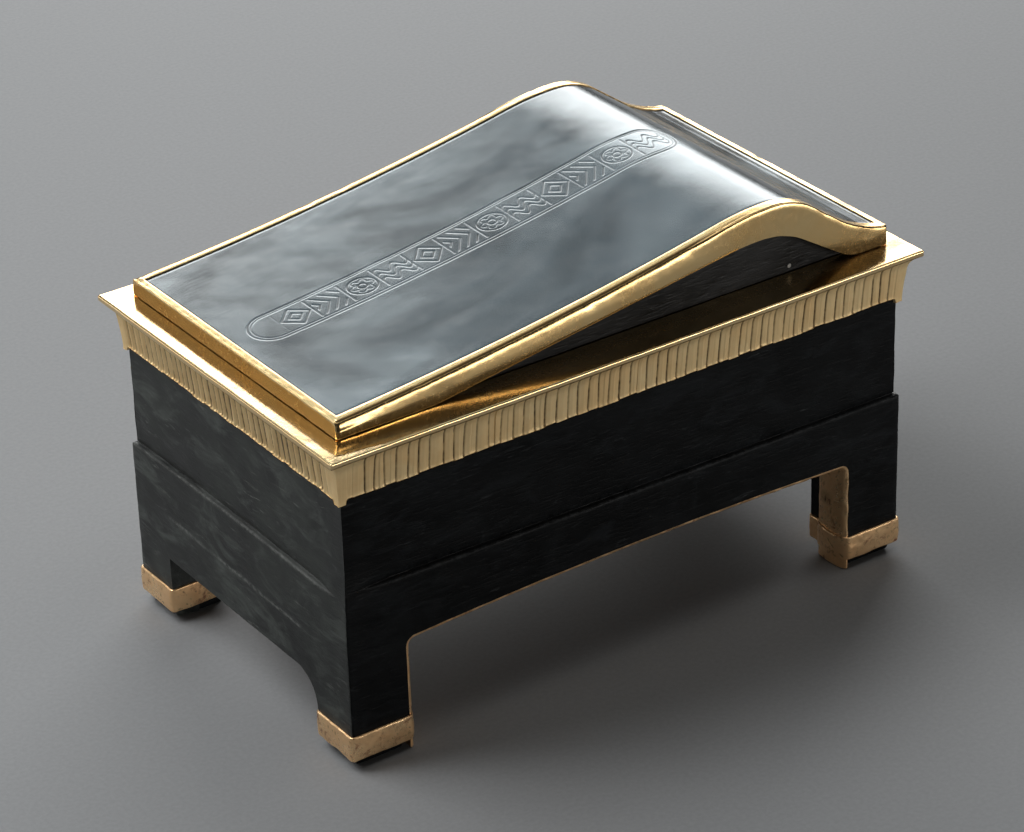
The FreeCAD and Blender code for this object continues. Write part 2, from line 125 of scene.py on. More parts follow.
def thicken(front, back, quads):
    """A closed solid from a front skin, its back twin and the walls between their borders."""
    n = front.size // 3
    edges = np.concatenate([quads[:, [i, (i + 1) % 4]] for i in range(4)])
    key = np.sort(edges, axis=1)
    order = np.lexsort((key[:, 1], key[:, 0]))
    key, edges = key[order], edges[order]
    same = np.all(key[1:] == key[:-1], axis=1)
    single = ~(np.r_[same, False] | np.r_[False, same])
    rim = edges[single]
    walls = np.stack([rim[:, 1], rim[:, 0], rim[:, 0] + n, rim[:, 1] + n], axis=1)
    points = np.vstack([front.reshape(-1, 3), back.reshape(-1, 3)])
    return points, np.vstack([quads, quads[:, ::-1] + n, walls])


def on_both(values, back=1.0):
    """Attribute values of a front skin, followed by those of its back twin."""
    return np.concatenate([values.reshape(-1), back * values.reshape(-1)])


def drop_unused(points, quads, values):
    """The same mesh without the points that no quad uses."""
    used = np.unique(quads)
    renumber = np.full(len(points), -1)
    renumber[used] = np.arange(len(used))
    return points[used], renumber[quads], values[used]


def build(name, points, quads, material, body, nodes, attributes=None, sharp=40.0, caps=()):
    """A Blender object from points in millimetres. It rides on a body and stands for CAD nodes."""
    mesh = bpy.data.meshes.new(name)
    faces = [tuple(int(i) for i in q) for q in quads] + [tuple(int(i) for i in c) for c in caps]
    mesh.from_pydata((np.asarray(points) * MM).tolist(), [], faces)
    mesh.validate()
    for key, values in (attributes or {}).items():
        layer = mesh.attributes.new(key, "FLOAT", "POINT")
        layer.data.foreach_set("value", np.asarray(values, np.float32))
    mesh.shade_smooth()
    mesh.set_sharp_from_angle(angle=math.radians(sharp))
    mesh.materials.append(material)
    piece = bpy.data.objects.new(name, mesh)
    bpy.context.scene.collection.objects.link(piece)
    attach(piece, body)
    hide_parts(*nodes)
    return piece


QUARTER = {"front": 0, "right": 1, "back": 2, "left": 3}


def place(side, u, d, z, offset):
    """Points drawn for the front side (u along it, d inward, z up), turned to another side."""
    x, y = np.asarray(u, float), -offset + np.asarray(d, float)
    for _ in range(QUARTER[side]):
        x, y = -y, x
    x, y, z = np.broadcast_arrays(x, y, z)
    return np.stack([x, y, z], axis=-1)


def lathe(profile, segments):
    """Rings of (radius, height) points about a vertical axis, closed onto themselves."""
    angles = np.linspace(0, 2 * math.pi, segments, endpoint=False)
    profile = np.array(profile, float)
    x = profile[None, :, 0] * np.cos(angles)[:, None]
    y = profile[None, :, 0] * np.sin(angles)[:, None]
    z = np.broadcast_to(profile[None, :, 1], x.shape)
    points = np.stack([x, y, z], axis=-1)
    index = np.arange(points.shape[0] * points.shape[1]).reshape(points.shape[:2])
    return points.reshape(-1, 3), grid_quads(index, wrap_rows=True, wrap_cols=True)


def lines(*parts):
    """Sorted, distinct grid lines from several lists."""
    values = np.sort(np.concatenate([np.atleast_1d(np.asarray(p, float)) for p in parts]))
    keep = np.r_[True, np.diff(values) > 1e-4]
    return values[keep]


def spread(a, b, step):
    """Evenly spaced values from a to b, about a step apart."""
    return np.linspace(a, b, max(2, int(round(abs(b - a) / step)) + 1))


def round_over(distance, radius):
    """How far a surface has dropped, at a distance from an arris rounded to this radius."""
    inside = np.clip(radius - distance, 0, radius)
    return radius - np.sqrt(radius ** 2 - inside ** 2)


ARC_STEPS = np.sin(np.radians([0, 18, 36, 54, 72, 90]))


# ------- the lid's outlines
def run_down(top, side, steps, depth=0.0):
    """Points of tangent arcs and lines that run down from a level top point."""
    x, z, angle, out = top[0], top[1] - depth, 0.0, [(top[0], top[1] - depth)]
    for step in steps:
        if step[0] == "line":
            x, z = x + side * step[1] * math.cos(angle), z - step[1] * math.sin(angle)
            out.append((x, z))
            continue
        s = 1 if step[0] == "over" else -1
        radius, turn = step[1] - s * depth, s * math.radians(step[2])
        cx = x - s * radius * side * math.sin(angle)
        cz = z - s * radius * math.cos(angle)
        for a in np.linspace(angle, angle + turn, 25)[1:]:
            x, z = cx + s * radius * side * math.sin(a), cz + s * radius * math.cos(a)
            out.append((x, z))
        angle += turn
    return out


def top_steps():
    """The lid's top from the crest down to each end, worked out so that both ends meet their heights."""
    sin, cos, rad = math.sin, math.cos, math.radians
    bend_x = CREST_X - FRONT_R * sin(rad(FRONT_TURN))
    bend_h = CREST_H - FRONT_R * (1 - cos(rad(FRONT_TURN)))
    dx, dh = bend_x - LID_X0, bend_h - LOW_END_H
    slope_turn = 2 * (FRONT_TURN - math.degrees(math.atan2(dh, dx)))
    slope_r = math.hypot(dx, dh) / (2 * sin(rad(slope_turn / 2)))
    flat = sin(rad(TAIL_TURN)) - sin(rad(TAIL_END_TURN))
    tail_dx = LID_X1 - CREST_X - TAIL_R * sin(rad(TAIL_TURN)) - TAIL_HOLLOW_R * flat
    slope = [("over", FRONT_R, FRONT_TURN), ("under", slope_r, slope_turn), ("line", 6.0)]
    tail = [("over", TAIL_R, TAIL_TURN), ("line", tail_dx / cos(rad(TAIL_TURN))),
            ("under", TAIL_HOLLOW_R, TAIL_TURN - TAIL_END_TURN), ("line", 6.0)]
    return slope, tail


def under_steps(over_r, turn, under_r):
    """The lower edge of the rim's band from its own crest down to the plate, on one side."""
    bend = 1 - math.cos(math.radians(turn))
    drop = UNDER_H - (LID_BASE - PLATE_TOP) - (over_r + under_r) * bend
    length = drop / math.sin(math.radians(turn))
    return [("over", over_r, turn), ("line", length), ("under", under_r, turn), ("line", 60.0)]


def height_of(top, slope, tail, depth=0.0):
    """A function of x for the height of such a line, or of one set in by a depth."""
    left = run_down(top, -1, slope, depth)
    right = run_down(top, 1, tail, depth)
    points = np.array(left[::-1] + right[1:])
    return lambda x: np.interp(x, points[:, 0], points[:, 1])


CREST = (CREST_X, PLATE_TOP + CREST_H)
rim_top = height_of(CREST, *top_steps())
panel_top = height_of(CREST, *top_steps(), SLAB_SINK)
rim_under = height_of((UNDER_X, PLATE_TOP + UNDER_H), under_steps(*UNDER_FRONT), under_steps(*UNDER_TAIL))


# ------- materials
class Nodes:
    """Short calls for the nodes of one material, on each object's own coordinates in metres."""

    def __init__(self, name, **principled):
        self.material = bpy.data.materials.new(name)
        self.material.use_nodes = True
        self.tree = self.material.node_tree
        self.bsdf = self.tree.nodes["Principled BSDF"]
        for key, value in principled.items():
            self.bsdf.inputs[key.replace("_", " ")].default_value = value
        self.coords = self.tree.nodes.new("ShaderNodeTexCoord").outputs["Object"]

    def into(self, socket, source):
        self.tree.links.new(source, self.bsdf.inputs[socket])

    def add(self, kind, inputs, **settings):
        """A new node; each of its inputs gets a number, a colour or another node's output."""
        node = self.tree.nodes.new("ShaderNode" + kind)
        for key, value in settings.items():
            setattr(node, key, value)
        for key, value in inputs.items():
            if isinstance(value, bpy.types.NodeSocket):
                self.tree.links.new(value, node.inputs[key])
            else:
                node.inputs[key].default_value = value
        return node

    def scaled(self, scale):
        return self.add("Mapping", {"Scale": scale, "Vector": self.coords}).outputs["Vector"]

    def noise(self, vector, scale, detail=4.0, rough=0.55, warp=0.0):
        inputs = {"Scale": scale, "Detail": detail, "Roughness": rough, "Distortion": warp, "Vector": vector}
        return self.add("TexNoise", inputs).outputs["Fac"]

    def attribute(self, name):
        return self.add("Attribute", {}, attribute_name=name).outputs["Fac"]

    def span(self, value, low, high, to_low=0.0, to_high=1.0):
        """Clamped straight-line map of one range onto another."""
        inputs = {"From Min": low, "From Max": high, "To Min": to_low, "To Max": to_high, "Value": value}
        return self.add("MapRange", inputs).outputs["Result"]

    def math(self, operation, a, b):
        return self.add("Math", {0: a, 1: b}, operation=operation).outputs["Value"]

    def mix(self, factor, a, b):
        """Two colours, given as tuples or as other nodes' outputs; the sockets are known by number."""
        a, b = ((*c, 1.0) if isinstance(c, tuple) else c for c in (a, b))
        return self.add("Mix", {0: factor, 6: a, 7: b}, data_type="RGBA").outputs[2]

    def bump(self, height, distance, strength=1.0, after=None):
        inputs = {"Distance": distance, "Strength": strength, "Height": height}
        if after is not None:
            inputs["Normal"] = after
        return self.add("Bump", inputs).outputs["Normal"]


def ebony(name, grain, dark, light, speck, shine=0.42):
    """Black wood: streaks along the grain, dull clouds, pale rubbed specks, worn arrises and painted
    highlights along the step.
    """
    stretch = {"x": (0.14, 1, 1), "y": (1, 0.14, 1)}[grain]
    n = Nodes(name, Specular_IOR_Level=shine)
    along, plain = n.scaled(stretch), n.scaled((1, 1, 1))
    streak = n.noise(along, 380, 6, 0.62, 0.4)
    cloud = n.noise(plain, 60, 5, 0.62, 0.6)
    body = n.mix(n.span(streak, 0.36, 0.66), dark, light)
    body = n.mix(n.span(cloud, 0.42, 0.62), tuple(c * 0.6 for c in dark), body)
    haze = n.span(n.noise(n.scaled(tuple(0.3 + 0.7 * c for c in stretch)), 170, 5, 0.66, 0.8), 0.50, 0.70)
    body = n.mix(haze, body, tuple(c * 1.7 for c in light))
    rubbed = n.span(n.noise(along, 900, 5, 0.7, 0.6), 0.60, 0.72)
    where = n.span(n.noise(plain, 70, 3, 0.6), 0.45, 0.60)
    body = n.mix(n.math("MULTIPLY", rubbed, where), body, speck)
    scar = n.span(n.noise(plain, 800, 4, 0.7), 0.38, 0.60)
    # pale where arrises are worn, and painted highlight along the step's edges
    worn = n.math("MULTIPLY", n.attribute("wear_and_highlight"), scar)
    n.into("Base Color", n.mix(worn, body, tuple(c * 1.5 for c in speck)))
    n.into("Roughness", n.span(n.math("ADD", streak, cloud), 0.75, 1.25, 0.36, 0.60))
    pores = n.span(n.noise(along, 1500, 3, 0.6), 0.25, 0.5)
    n.into("Normal", n.bump(pores, 0.00006, 0.7, n.bump(haze, 0.00005, 0.5)))
    return n.material


def gilt(name, colour, shade, rough, dents, dirt_and_shade=(0.06, 0.035, 0.015), spots=None, metal=1.0):
    """Gilt sheet: warm colour that drifts, small dents, dirt in what is cut or pressed in, and painted shade
    where the cut attribute carries it.
    """
    n = Nodes(name, Metallic=metal)
    plain = n.scaled((1, 1, 1))
    drift = n.noise(plain, 90, 5, 0.6, 0.5)
    colour_now = n.mix(n.span(drift, 0.35, 0.68), colour, shade)
    fine = n.noise(plain, 900, 4, 0.65)
    if spots:
        stained = n.span(n.noise(plain, 330, 6, 0.72, 0.4), 0.56, 0.70)
        colour_now = n.mix(stained, colour_now, spots)
    # the cut attribute darkens towards the dirt colour: real dirt in grooves, and painted shade on the plate,
    # the cornice's top and the rim's inner wall
    grime_and_shade = n.math("MULTIPLY", n.attribute("cut"), n.span(fine, 0.25, 0.6, 0.5, 1.0))
    n.into("Base Color", n.mix(grime_and_shade, colour_now, dirt_and_shade))
    low, high = rough
    worn = n.span(n.math("ADD", drift, fine), 0.75, 1.25, low, high)
    n.into("Roughness", n.math("ADD", worn, n.math("MULTIPLY", grime_and_shade, 0.3)))
    beaten = n.bump(n.noise(plain, 260, 2, 0.5), 0.00018, dents, n.bump(drift, 0.0004, dents))
    n.into("Normal", n.bump(fine, 0.00002, 0.5, beaten))
    return n.material


def polished_panel():
    """Polished black panel with clouds of duller finish, fine scratches and a few rubbed specks."""
    n = Nodes("polished_panel", IOR=2.2, Specular_Tint=(0.80, 0.94, 1.0, 1.0))
    plain = n.scaled((1, 1, 1))
    cloud = n.noise(n.scaled((0.7, 1, 1)), 30, 3, 0.5, 0.9)
    small = n.noise(plain, 150, 4, 0.55, 0.3)
    tone = n.mix(n.span(cloud, 0.36, 0.66), (0.010, 0.014, 0.016), (0.030, 0.038, 0.042))
    tone = n.mix(n.span(small, 0.5, 0.8, 0.0, 0.25), tone, (0.050, 0.050, 0.046))
    flecks = n.span(n.noise(n.scaled((0.5, 1, 1)), 1100, 3, 0.6), 0.71, 0.80)
    tone = n.mix(flecks, tone, (0.09, 0.10, 0.11))
    cut = n.attribute("cut")
    tone = n.mix(n.span(cut, 0.0, 0.8), tone, (0.004, 0.005, 0.005))
    n.into("Base Color", tone)
    gloss = n.span(cloud, 0.34, 0.66, 0.30, 0.60)
    n.into("Specular IOR Level", n.math("MULTIPLY", gloss, n.span(cut, 0.0, 0.8, 1.0, 0.35)))
    rough = n.span(n.math("ADD", cloud, n.math("MULTIPLY", small, 0.4)), 0.50, 0.90, 0.19, 0.27)
    n.into("Roughness", n.math("ADD", rough, n.math("MULTIPLY", cut, 0.3)))
    scratches = n.noise(n.scaled((0.03, 1, 1)), 1200, 4, 0.7)
    n.into("Normal", n.bump(scratches, 0.00002, 0.4, n.bump(cloud, 0.0006, 0.2)))
    return n.material


def plain_wood():
    n = Nodes("inner_wood", Roughness=0.7)
    along = n.scaled((0.1, 1, 1))
    streak = n.noise(along, 500, 5, 0.6, 0.8)
    n.into("Base Color", n.mix(n.span(streak, 0.35, 0.65), (0.03, 0.02, 0.014), (0.075, 0.05, 0.034)))
    n.into("Normal", n.bump(streak, 0.0001, 0.6))
    return n.material


def well_glass():
    n = Nodes("well_glass", Transmission_Weight=1.0, IOR=1.5, Base_Color=(0.93, 0.97, 0.95, 1.0))
    smear = n.noise(n.scaled((1, 1, 0.3)), 160, 4, 0.6)
    n.into("Roughness", n.span(smear, 0.45, 0.75, 0.02, 0.16))
    n.into("Normal", n.bump(smear, 0.0004, 0.3))
    return n.material


# Painted light: one black wood in two tones. The long sides' ebony is painted darker as painted shade, and
# the short sides' is painted lighter and greener as painted light from the left.
M_EBONY_SHADED = ebony("ebony_grain_x_painted_shade", "x", (0.002, 0.0025, 0.003), (0.006, 0.007, 0.008), (0.05, 0.054, 0.056),
               shine=0.12)
M_EBONY_LIT = ebony("ebony_grain_y_painted_light", "y", (0.012, 0.014, 0.013), (0.036, 0.041, 0.037), (0.15, 0.156, 0.144))
M_CORE = ebony("ebony_lid_core", "x", (0.005, 0.0055, 0.006), (0.016, 0.017, 0.019), (0.08, 0.083, 0.085))
M_PANEL = polished_panel()
M_RIM = gilt("gilt_rim", (0.96, 0.70, 0.34), (0.86, 0.57, 0.24), (0.20, 0.29), 0.14)
M_PLATE = gilt("gilt_plate", (0.98, 0.74, 0.40), (0.90, 0.63, 0.30), (0.11, 0.19), 0.06)
M_CORNICE = gilt("gilt_cornice", (1.0, 0.77, 0.42), (0.92, 0.66, 0.33), (0.48, 0.64), 0.16, metal=0.65)
M_SHOE = gilt("gilt_copper", (1.0, 0.68, 0.37), (0.88, 0.53, 0.26), (0.24, 0.44), 0.35,
              spots=(0.30, 0.10, 0.06), metal=0.8)
M_WELL = gilt("well_gilt", (1.0, 0.73, 0.34), (0.90, 0.60, 0.24), (0.12, 0.24), 0.05)
M_HINGE = gilt("hinge_brass", (0.86, 0.60, 0.26), (0.66, 0.42, 0.16), (0.26, 0.44), 0.12)
M_WOOD = plain_wood()
M_GLASS = well_glass()
M_PIN = Nodes("pale_pin", Metallic=1.0, Roughness=0.45, Base_Color=(0.50, 0.50, 0.48, 1.0)).material


# ------- case boards
ARCH_R = (OPENING_X ** 2 + (FRONT_ARCH_MID - FRONT_ARCH_END) ** 2) / (2 * (FRONT_ARCH_MID - FRONT_ARCH_END))
LEG_IN_X, LEG_IN_Y = CASE_X - LEG_X, CASE_Y - LEG_Y
FILLET_U = LEG_IN_X - FRONT_CORNER_R
WEAR_LINES = np.array([0, 0.12, 0.3, 0.6, 1.0, 1.6, 2.4, 3.6, 5.2])


def arch(u):
    return FRONT_ARCH_MID - (ARCH_R - np.sqrt(ARCH_R ** 2 - np.asarray(u, float) ** 2))


def long_side_edge(u):
    """Apron's lower edge on a long side, with the small round corners at the legs."""
    a = np.abs(u)
    centre_z = arch(FILLET_U) - FRONT_CORNER_R
    inside = np.clip(a - FILLET_U, 0, FRONT_CORNER_R)
    corner = centre_z + np.sqrt(FRONT_CORNER_R ** 2 - inside ** 2)
    edge = np.where(a > FILLET_U, corner, arch(np.minimum(a, FILLET_U)))
    rise = np.clip((a - LEG_IN_X) / LEG_X, 0, 1)
    return edge + rise * (FRONT_ARCH_END - centre_z)


def end_edge(u):
    """Apron's lower edge on a short side; the hollow corner is at positive u."""
    inside = np.clip(u - (LEG_IN_Y - END_CORNER_R), 0, END_CORNER_R)
    corner = END_APRON_Z - END_CORNER_R + np.sqrt(END_CORNER_R ** 2 - inside ** 2)
    return corner + np.clip((u - LEG_IN_Y) / LEG_Y, 0, 1) * END_CORNER_R


def step_line(side, u):
    """The carved step doesn't run quite level, and bows on the short sides."""
    if side in ("front", "back"):
        return STEP_Z + 0.5 - 1.2 * u / CASE_X
    return STEP_Z + 0.1 - 0.8 * (u / CASE_Y) ** 2


# (height above the step's line, depth behind the lower face): worn arris, scribed line, upper face
STEP_SHAPE = ((-0.9, 0.0), (-0.45, 0.02), (-0.2, 0.10), (-0.05, 0.30), (0.03, 0.62), (0.08, 1.0),
              (0.16, 1.18), (0.30, 1.22), (0.42, 1.08), (0.55, 1.0))


def board_rows(edge, step, rise_rows):
    """(height, depth behind the face, foot inset) of each row from foot to top, and the first
    row that runs the board's whole length."""
    low, clear, above = FOOT_H + 0.05, edge + 1.4, step + STEP_SHAPE[-1][0]
    rows = [(0.0, FOOT_IN + 0.7, 0.7), (0.25, FOOT_IN + 0.25, 0.25), (0.7, FOOT_IN, 0.0),
            (FOOT_H, FOOT_IN, 0.0)]
    rows += [(low + t * (edge - low), 0.0, -FOOT_IN) for t in np.linspace(0, 1, 8)]
    first_whole = len(rows) - 1
    rows += [(edge + t, 0.0, -FOOT_IN) for t in (0.15, 0.4, 0.8)]
    rows += [(clear + t * (step - 1.6 - clear), 0.0, -FOOT_IN) for t in np.linspace(0, 1, rise_rows)]
    rows += [(step + dz, depth, -FOOT_IN) for dz, depth in STEP_SHAPE]
    rows += [(above + t * (BOARD_TOP - above), STEP_IN, -FOOT_IN) for t in np.linspace(0, 1, 16)[1:]]
    return rows, first_whole


def make_board(side, name):
    """One case board with its legs. u runs along it, and its rows run from the feet to the top."""
    long_side = side in ("front", "back")
    half, offset, leg = (CASE_X, CASE_Y, LEG_X) if long_side else (CASE_Y, CASE_X, LEG_Y)
    inner = half - leg
    hand = 1 if side == "left" else -1
    if long_side:
        bends = FILLET_U + FRONT_CORNER_R * ARC_STEPS
        marks, rise_rows = [bends, -bends], 10
    else:
        bends = LEG_IN_Y - END_CORNER_R + END_CORNER_R * np.sin(np.radians(np.linspace(0, 90, 13)))
        marks, rise_rows = [hand * bends, [-inner, inner]], 40
    us = lines(spread(-half, half, 1.5), *marks, half - WEAR_LINES, WEAR_LINES - half)
    step = step_line(side, us)
    edge = long_side_edge(us) if long_side else end_edge(hand * us)
    rows, first_whole = board_rows(edge, step, rise_rows)
    z = np.array([np.broadcast_to(height, us.shape) for height, _, _ in rows])
    depth = np.array([row[1] for row in rows])[:, None] + 0 * z
    inset = np.array([row[2] for row in rows])[:, None] + FOOT_IN

    # the step softens into a slope where it nears the front left corner
    corner_u = {"front": -half, "left": half}.get(side)
    fade = np.ones_like(us)
    rubbed = 0.25
    if corner_u is not None:
        from_corner = np.abs(us - corner_u)
        fade = np.clip((from_corner - 5.0) / 7.0, 0, 1)
        rise = np.clip((z - step + 7.0) / 14.0, 0, 1)
        slope = STEP_IN * rise * rise * (3 - 2 * rise)
        depth = depth * fade + np.where(z > FOOT_H + 0.1, slope, depth) * (1 - fade)
        rubbed = 0.25 * np.clip(from_corner / 20.0, 0.15, 1)

    far = np.abs(us) > inner - 0.001
    u = np.where(far, np.clip(np.abs(us), inner + inset, half), np.abs(us)) * np.sign(us)
    arris = half - np.abs(us)
    depth = depth + round_over(arris, 0.55)
    depth = depth + hollows(0.05, 11, 9, u, z) + hollows(0.03, 12, 3.2, u, z * 1.5)
    u = np.where(far, np.clip(np.abs(u), 0, half - np.minimum(depth, 2.0)), np.abs(u)) * np.sign(us)

    front = place(side, u, depth, z, offset)
    narrower = (half - BOARD_T - inner) / (half - inner)
    back_u = np.where(far, inner + (np.abs(u) - inner) * narrower, np.abs(u))
    back = place(side, back_u * np.sign(us), BOARD_T, z, offset)
    column = (us[:-1] + us[1:]) / 2
    keep = np.ones((z.shape[0] - 1, z.shape[1] - 1), bool)
    keep[:first_whole] = np.abs(column) > inner
    # the skin's quads are turned so that its faces look outwards
    quads = grid_quads(np.arange(z.size).reshape(z.shape))[keep.reshape(-1)][:, ::-1]

    # Painted highlights: the step's lower arris and the edge above its scribed groove are painted pale as if
    # they caught the light. The corner arrises and the low rub are painted pale as wear.
    step_arris_highlight = np.exp(-((z - step + 0.25) / 0.22) ** 2)
    groove_edge_highlight = np.exp(-((z - step - 0.72) / 0.2) ** 2)
    wear_and_highlight = np.maximum(rubbed * np.exp(-arris / 0.7) + 0 * z, 0.4 * fade * (step_arris_highlight + 0.6 * groove_edge_highlight))
    if side == "left":
        # a long pale rub runs low across this face
        rub_z = 27.7 - 0.9 * u / CASE_Y
        along_rub = np.clip((u + 31) / 4, 0, 1) * np.clip((29 - u) / 4, 0, 1)
        wear_and_highlight = np.maximum(wear_and_highlight, 0.75 * along_rub * np.exp(-((z - rub_z) / 0.35) ** 2))
    wear_and_highlight = wear_and_highlight * (0.45 + 0.55 * (waves(21, 7, u, z) > -0.2))
    points, quads, wear_and_highlight = drop_unused(*thicken(front, back, quads), on_both(wear_and_highlight, back=0))
    return build(name, points, quads, M_EBONY_SHADED if long_side else M_EBONY_LIT, "case",
                 [side + "_board"], {"wear_and_highlight": wear_and_highlight}, sharp=50)


for side in QUARTER:
    make_board(side, side + "_case_board")


# ------- half-round strips in the openings
def strip_path():
    """(x, z), direction into the opening, from the left leg's foot over the arch to the right one."""
    centre_z = float(arch(FILLET_U)) - FRONT_CORNER_R
    points = [(-LEG_IN_X, z, 1.0, 0.0) for z in spread(STRIP_FOOT, centre_z, 0.8)]
    tilt = math.asin(FILLET_U / ARCH_R)
    for a in np.linspace(0, math.pi / 2 - tilt, 12)[1:]:
        points.append((-FILLET_U - FRONT_CORNER_R * math.cos(a), centre_z + FRONT_CORNER_R * math.sin(a),
                       math.cos(a), -math.sin(a)))
    for x in np.linspace(-FILLET_U, FILLET_U, 121)[1:-1]:
        a = math.asin(x / ARCH_R)
        points.append((x, float(arch(x)), -math.sin(a), -math.cos(a)))
    left = np.array(points)
    mirror = left[left[:, 0] < -FILLET_U + 0.001][::-1] * np.array([-1, 1, -1, 1])
    return np.vstack([left, mirror])


def make_strip(side, name):
    """The gilt lining of one long side's opening, crowned across its width."""
    path = strip_path()
    ys = np.linspace(0, STRIP_W, 21)
    bulge = STRIP_EDGE + (STRIP_T - STRIP_EDGE) * np.sqrt(np.clip(1 - (2 * ys / STRIP_W - 1) ** 2, 0, 1))
    run = np.cumsum(np.r_[0, np.hypot(*np.diff(path[:, :2], axis=0).T)])
    s, y = np.meshgrid(run, ys, indexing="ij")
    thick = bulge[None, :] + 0.0 * s
    thick = thick - hollows(0.06, 31, 5, s, y) - hollows(0.02, 32, 1.6, s * 0.4, y * 2)
    thick = np.maximum(thick, 0.15)
    edge = hollows(0.10, 33, 6, s) * (y < 0.3)
    path_u, path_z, toward_u, toward_z = path.T[:, :, None]
    d = STRIP_SET_IN + y + edge
    z = np.maximum(path_z + toward_z * thick, STRIP_FOOT)
    front, back = place(side, path_u + toward_u * thick, d, z, CASE_Y), place(side, path_u, d, path_z, CASE_Y)
    quads = grid_quads(np.arange(s.size).reshape(s.shape))
    cut = np.clip((waves(34, 2.2, s, y * 3) - 0.72) * 3, 0, 1)
    cut = cut + 0.5 * np.clip((waves(35, 9, s, y) - 0.5) * 2, 0, 1)
    points, quads = thicken(front, back, quads)
    return build(name, points, quads, M_SHOE, "case", [side + "_opening_strip"],
                 {"cut": on_both(cut)})


make_strip("front", "front_opening_band")
make_strip("back", "back_opening_band")


# ------- shoes
def smooth_path(corners, radius, step):
    """Closed plan path with its corners rounded, and the distance run to each of its points."""
    out = []
    for i, r in enumerate(radius):
        p, a, b = (np.array(corners[k % len(corners)], float) for k in (i, i - 1, i + 1))
        if r <= 0:
            out.append(p)
            continue
        da, db = (a - p) / np.linalg.norm(a - p), (b - p) / np.linalg.norm(b - p)
        half = math.acos(np.clip(np.dot(da, db), -1, 1)) / 2
        tangent = r / math.tan(half)
        middle = (da + db) / np.linalg.norm(da + db)
        centre = p + middle * r / math.sin(half)
        start, end = p + da * tangent, p + db * tangent
        for t in np.linspace(0, 1, 7):
            q = start * (1 - t) + end * t - centre
            out.append(centre + q / np.linalg.norm(q) * r)
    path = np.array(out)
    closed = np.vstack([path, path[:1]])
    run = np.r_[0, np.cumsum(np.linalg.norm(np.diff(closed, axis=0), axis=1))]
    at = np.linspace(0, run[-1], int(run[-1] / step) + 1)[:-1]
    return np.stack([np.interp(at, run, closed[:, k]) for k in (0, 1)], axis=1), at


def make_shoe(along, across, name):
    """Sheet wrapped round one leg and its end of the opening's lining, dented and a little uneven."""
    sx, sy = (-1 if across == "left" else 1), (-1 if along == "front" else 1)
    y0, y1 = -CASE_Y, -CASE_Y + LEG_Y
    lining_y, lining_end = y0 + STRIP_SET_IN, y0 + STRIP_SET_IN + STRIP_W
    crown = [(LEG_IN_X - STRIP_T * math.sqrt(max(0.0, 1 - (2 * t - 1) ** 2)) * 0.98, lining_y + t * STRIP_W)
             for t in np.linspace(0.06, 0.94, 9)]
    corners = [(LEG_IN_X, lining_end), (LEG_IN_X, y1), (CASE_X, y1), (CASE_X, y0), (LEG_IN_X, y0)] + crown
    path, run = smooth_path(corners, [0.0, 0.4, 0.5, 0.45, 0.35] + [0.0] * len(crown), 0.35)
    tangent = np.roll(path, -1, axis=0) - np.roll(path, 1, axis=0)
    tangent /= np.linalg.norm(tangent, axis=1)[:, None]
    middle = np.array([(LEG_IN_X + CASE_X) / 2, (y0 + y1) / 2])
    out = np.stack([tangent[:, 1], -tangent[:, 0]], axis=1)
    if np.mean(np.sum(out * (path - middle), axis=1)) < 0:
        out = -out
    seed = 41 + 2 * (sx > 0) + 5 * (sy > 0)
    section = [(0.02, 0.0), (0.20, 0.0), (0.42, 0.02), (0.56, 0.12), (0.6, 0.3)]
    height = SHOE_TOP - FOOT_H
    ring = section + [(0.6, t) for t in np.linspace(0.3, height - 0.3, 17)[1:]]
    ring += [(a, height - b) for a, b in section[::-1][1:]]
    offs, heights = np.array(ring).T[:, None, :]
    s = run[:, None] + 0 * heights
    h = heights + 0 * s
    length = run[-1] + run[1]
    turn = 2 * math.pi * s / length
    # the place round the shoe, as a place on a circle, so that the dents close up without a seam
    round_x, round_y = np.cos(turn) * length / 6.283, np.sin(turn) * length / 6.283
    dent = waves(seed, 4.5, round_x, round_y, h) * 0.10 + waves(seed + 20, 1.7, round_x, round_y, h) * 0.035
    inner_face = offs < 0.1
    off = np.where(inner_face, offs, offs - 0.13 - np.abs(dent) * 0.9 + 0.13 * np.sin(np.pi * h / height))
    off = np.clip(off, 0.02, SHEET_T)
    lift = hollows(0.16, seed + 40, 7, round_x, round_y) * (1 - h / height)
    sag = hollows(0.10, seed + 60, 8, round_x, round_y) * (h / height)
    z = FOOT_H + h + lift - sag
    xy = path[:, None, :] + out[:, None, :] * off[..., None]
    points = np.stack([sx * xy[..., 0], -sy * xy[..., 1], z], axis=-1)
    cut = np.clip((waves(seed + 80, 1.1, round_x, round_y, h) - 0.75) * 4, 0, 1) * 0.7
    cut = np.maximum(cut, np.where(inner_face, 0.6, 0))
    index = np.arange(s.size).reshape(s.shape)
    quads = grid_quads(index, wrap_rows=True, wrap_cols=True)
    if sx * -sy < 0:
        quads = quads[:, ::-1]
    return build(name, points.reshape(-1, 3), quads, M_SHOE, "case",
                 ["%s_%s_shoe" % (along, across)], {"cut": cut.reshape(-1)})


for along in ("front", "back"):
    for across in ("left", "right"):
        make_shoe(along, across, "%s_%s_gilt_shoe" % (along, across))


